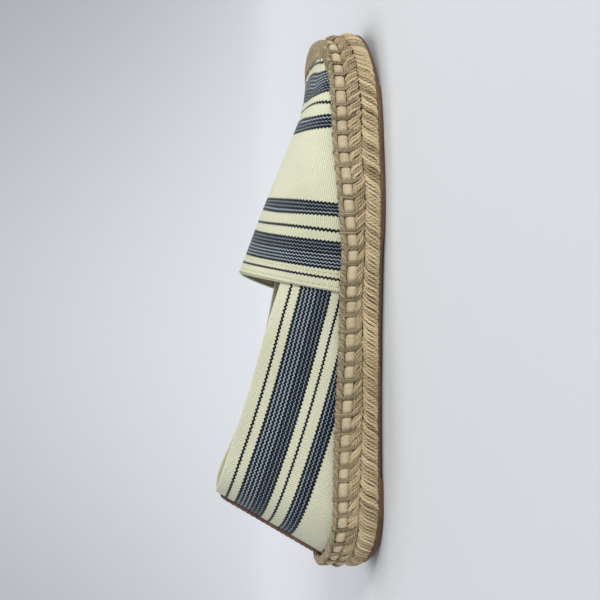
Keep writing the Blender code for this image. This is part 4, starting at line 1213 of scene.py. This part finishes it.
def makeHeelStrip():
    # leather strip on the outside of the quarter: a grid over the heel whose columns are arc lengths from the
    # middle line and whose rows are levels, lifted by the strip's thickness, which thins to its sides
    share = np.linspace(0, 1, heelStrip["reachRows"])
    turns = throatTurn * np.linspace(-heelStrip["reach"], heelStrip["reach"], heelStrip["reachRibs"])
    form = quarterForm(turns, share)
    both = np.concatenate([form, gridNormals(form, form + np.array([0, 1.0, 0]))], -1)
    half = shoe["patchWidth"] / 2
    across = np.linspace(-half, half, heelStrip["columns"])
    foot = soleTop(np.float64(0)) + shoe["gap"] + heelStrip["foot"]
    levels = np.linspace(foot, shoe["heelHeight"] - shoe["patchDrop"] - heelStrip["top"], heelStrip["rows"])
    columns = []
    for row in range(len(share)):
        steps = lengthsAlong(form[:, row])
        columns.append(interpEach(across, steps - np.interp(0, form[:, row, 0], steps), both[:, row]))
    columns = np.array(columns)
    grid = [interpEach(levels, columns[:, k, 2], columns[:, k]) for k in range(len(across))]
    grid = np.stack(grid, 1)
    middle, away = grid[..., :3], unit(grid[..., 3:])
    rows, wide = grid.shape[:2]
    down, side = np.meshgrid(np.linspace(-1, 1, rows), np.linspace(-1, 1, wide), indexing="ij")
    edge = (1 - np.abs(side) ** heelStrip["sideEdge"]) * (1 - np.abs(down) ** heelStrip["endEdge"])
    outer = middle + away * (heelStrip["lift"] + shoe["patchThickness"] * edge)[..., None]
    at = np.arange(rows * wide).reshape(rows, wide)
    front = gridFaces(rows, wide)
    border = np.concatenate([at[0, :-1], at[:-1, -1], at[-1, :0:-1], at[:0:-1, 0]])
    ahead = np.roll(border, -1)
    sides = np.stack([border, border + rows * wide, ahead + rows * wide, ahead], -1)
    uv = np.tile(np.stack([side * half, levels[:, None] + 0 * side], -1).reshape(-1, 2), (2, 1))
    points = np.stack([outer, middle + away * heelStrip["behind"]])
    sets = [front, front[:, ::-1] + rows * wide, sides]
    addPiece("heel_strip", points, sets, [stripLeather], ("heel_patch",), uv=uv)
    # a row of stitches up each side and one across the top
    column, row = heelStrip["seamColumn"], heelStrip["seamRow"]
    seams = [(slice(1, -1), column), (slice(1, -1), wide - 1 - column), (rows - 1 - row, slice(2, -2))]
    seams = [stitchRow(outer[seam], away[seam], heelStrip) for seam in seams]
    addStitches("heel_strip_stitches", seams, heelStrip, brownThread)


makeOutsole()
makeCore()
makeBraid("lower", braid["seed"])
makeBraid("upper", braid["seed"] + 1)
makeTape()
makeStitchBars()
makeCord()
makeToeRim()
makeInsole()
vampOuter, vampNormal, vampDown = makeVamp()
makeQuarter()
makeHemStitches(vampOuter, vampNormal, vampDown)
makeHeelStrip()


# floor, light and camera
stage = {"bend": 1500, "wide": 4000, "front": 2500, "back": -900, "high": 3000, "colour": "#d5d7da"}    # mm


def makeStage():
    # pale floor that rolls up into a backdrop: a straight, a quarter circle of radius bend, and a straight
    bend, back = stage["bend"], stage["back"]
    turn = np.linspace(0, np.pi / 2, 13)[1:]
    flat, wall = np.linspace(stage["front"], back, 12), bend + np.linspace(200, stage["high"], 8)
    x = np.concatenate([flat, back - bend * np.sin(turn), np.full(len(wall), back - bend)])
    z = np.concatenate([np.zeros(len(flat)), bend * (1 - np.cos(turn)), wall])
    y = np.linspace(-stage["wide"], stage["wide"], 9)
    points = np.stack(np.broadcast_arrays(x[:, None], y, z[:, None]), -1) * 0.001
    mesh = bpy.data.meshes.new("floor")
    mesh.from_pydata(points.reshape(-1, 3).tolist(), [], gridFaces(len(x), len(y))[:, ::-1].tolist())
    mesh.shade_smooth()
    material = newMaterial("pale_paper_backdrop", Base_Color=toLinear(stage["colour"]), Roughness=0.9)[0]
    mesh.materials.append(material)
    floor = bpy.data.objects.new("floor", mesh)
    bpy.context.collection.objects.link(floor)


# studio lights, round soft boxes: name, place, the point each looks at, width in metres, watts, colour
lights = [
    ("key", (0.85, 0.66, 0.40), (0, 0.04, 0.03), 0.45, 8.0, "#fffdf8"),
    ("fill", (0.9, -0.2, 0.35), (0, 0, 0.03), 0.9, 1.6, "#f6f9ff"),
    ("top", (-0.3, 0.1, 1.4), (0, 0, 0.0), 1.2, 4.0, "#ffffff"),
    ("wash", (-0.75, 0.0, 1.2), (-1.6, 0.0, 0.2), 1.5, 11.0, "#ffffff"),
]
sky = {"colour": "#dfe3e8", "strength": 0.6}


def makeLights():
    # soft studio light from discs, and a pale even sky
    for name, place, aim, size, power, colour in lights:
        lamp = bpy.data.lights.new(name, "AREA")
        lamp.shape, lamp.size, lamp.energy = "DISK", size, power
        lamp.color = toLinear(colour)[:3]
        thing = bpy.data.objects.new(name, lamp)
        thing.location = Vector(place)
        thing.rotation_euler = (Vector(aim) - Vector(place)).to_track_quat("-Z", "Y").to_euler()
        bpy.context.collection.objects.link(thing)
    world = bpy.data.worlds.new("studio")
    bpy.context.scene.world = world
    world.use_nodes = True
    background = world.node_tree.nodes["Background"].inputs
    background["Color"].default_value = toLinear(sky["colour"])
    background["Strength"].default_value = sky["strength"]
    bpy.context.scene.view_settings.view_transform = "Standard"


# metres: the camera's place, the point it looks at, and the shoe's direction that points up the picture
camera = {
    "place": (0.3413, -0.0245, 0.0749), "aim": (0.0150, -0.0046, 0.0349), "toeUp": (0.0523, 0.9986, 0.0),
    "lens": 42.0, "sensor": 36.0, "clip": (0.01, 20),
}


def makeCamera():
    # at the picture's angle to the shoe, rolled so that the toe points up the picture
    data = bpy.data.cameras.new("camera")
    data.lens, data.sensor_width = camera["lens"], camera["sensor"]
    data.clip_start, data.clip_end = camera["clip"]
    thing = bpy.data.objects.new("camera", data)
    back = (Vector(camera["place"]) - Vector(camera["aim"])).normalized()
    upward = Vector(camera["toeUp"])
    upward = (upward - back * upward.dot(back)).normalized()
    turned = Matrix((upward.cross(back), upward, back)).transposed()
    thing.matrix_world = Matrix.Translation(Vector(camera["place"])) @ turned.to_4x4()
    bpy.context.collection.objects.link(thing)
    bpy.context.scene.camera = thing


makeStage()
makeLights()
makeCamera()
print("set the floor, the lights and the camera")
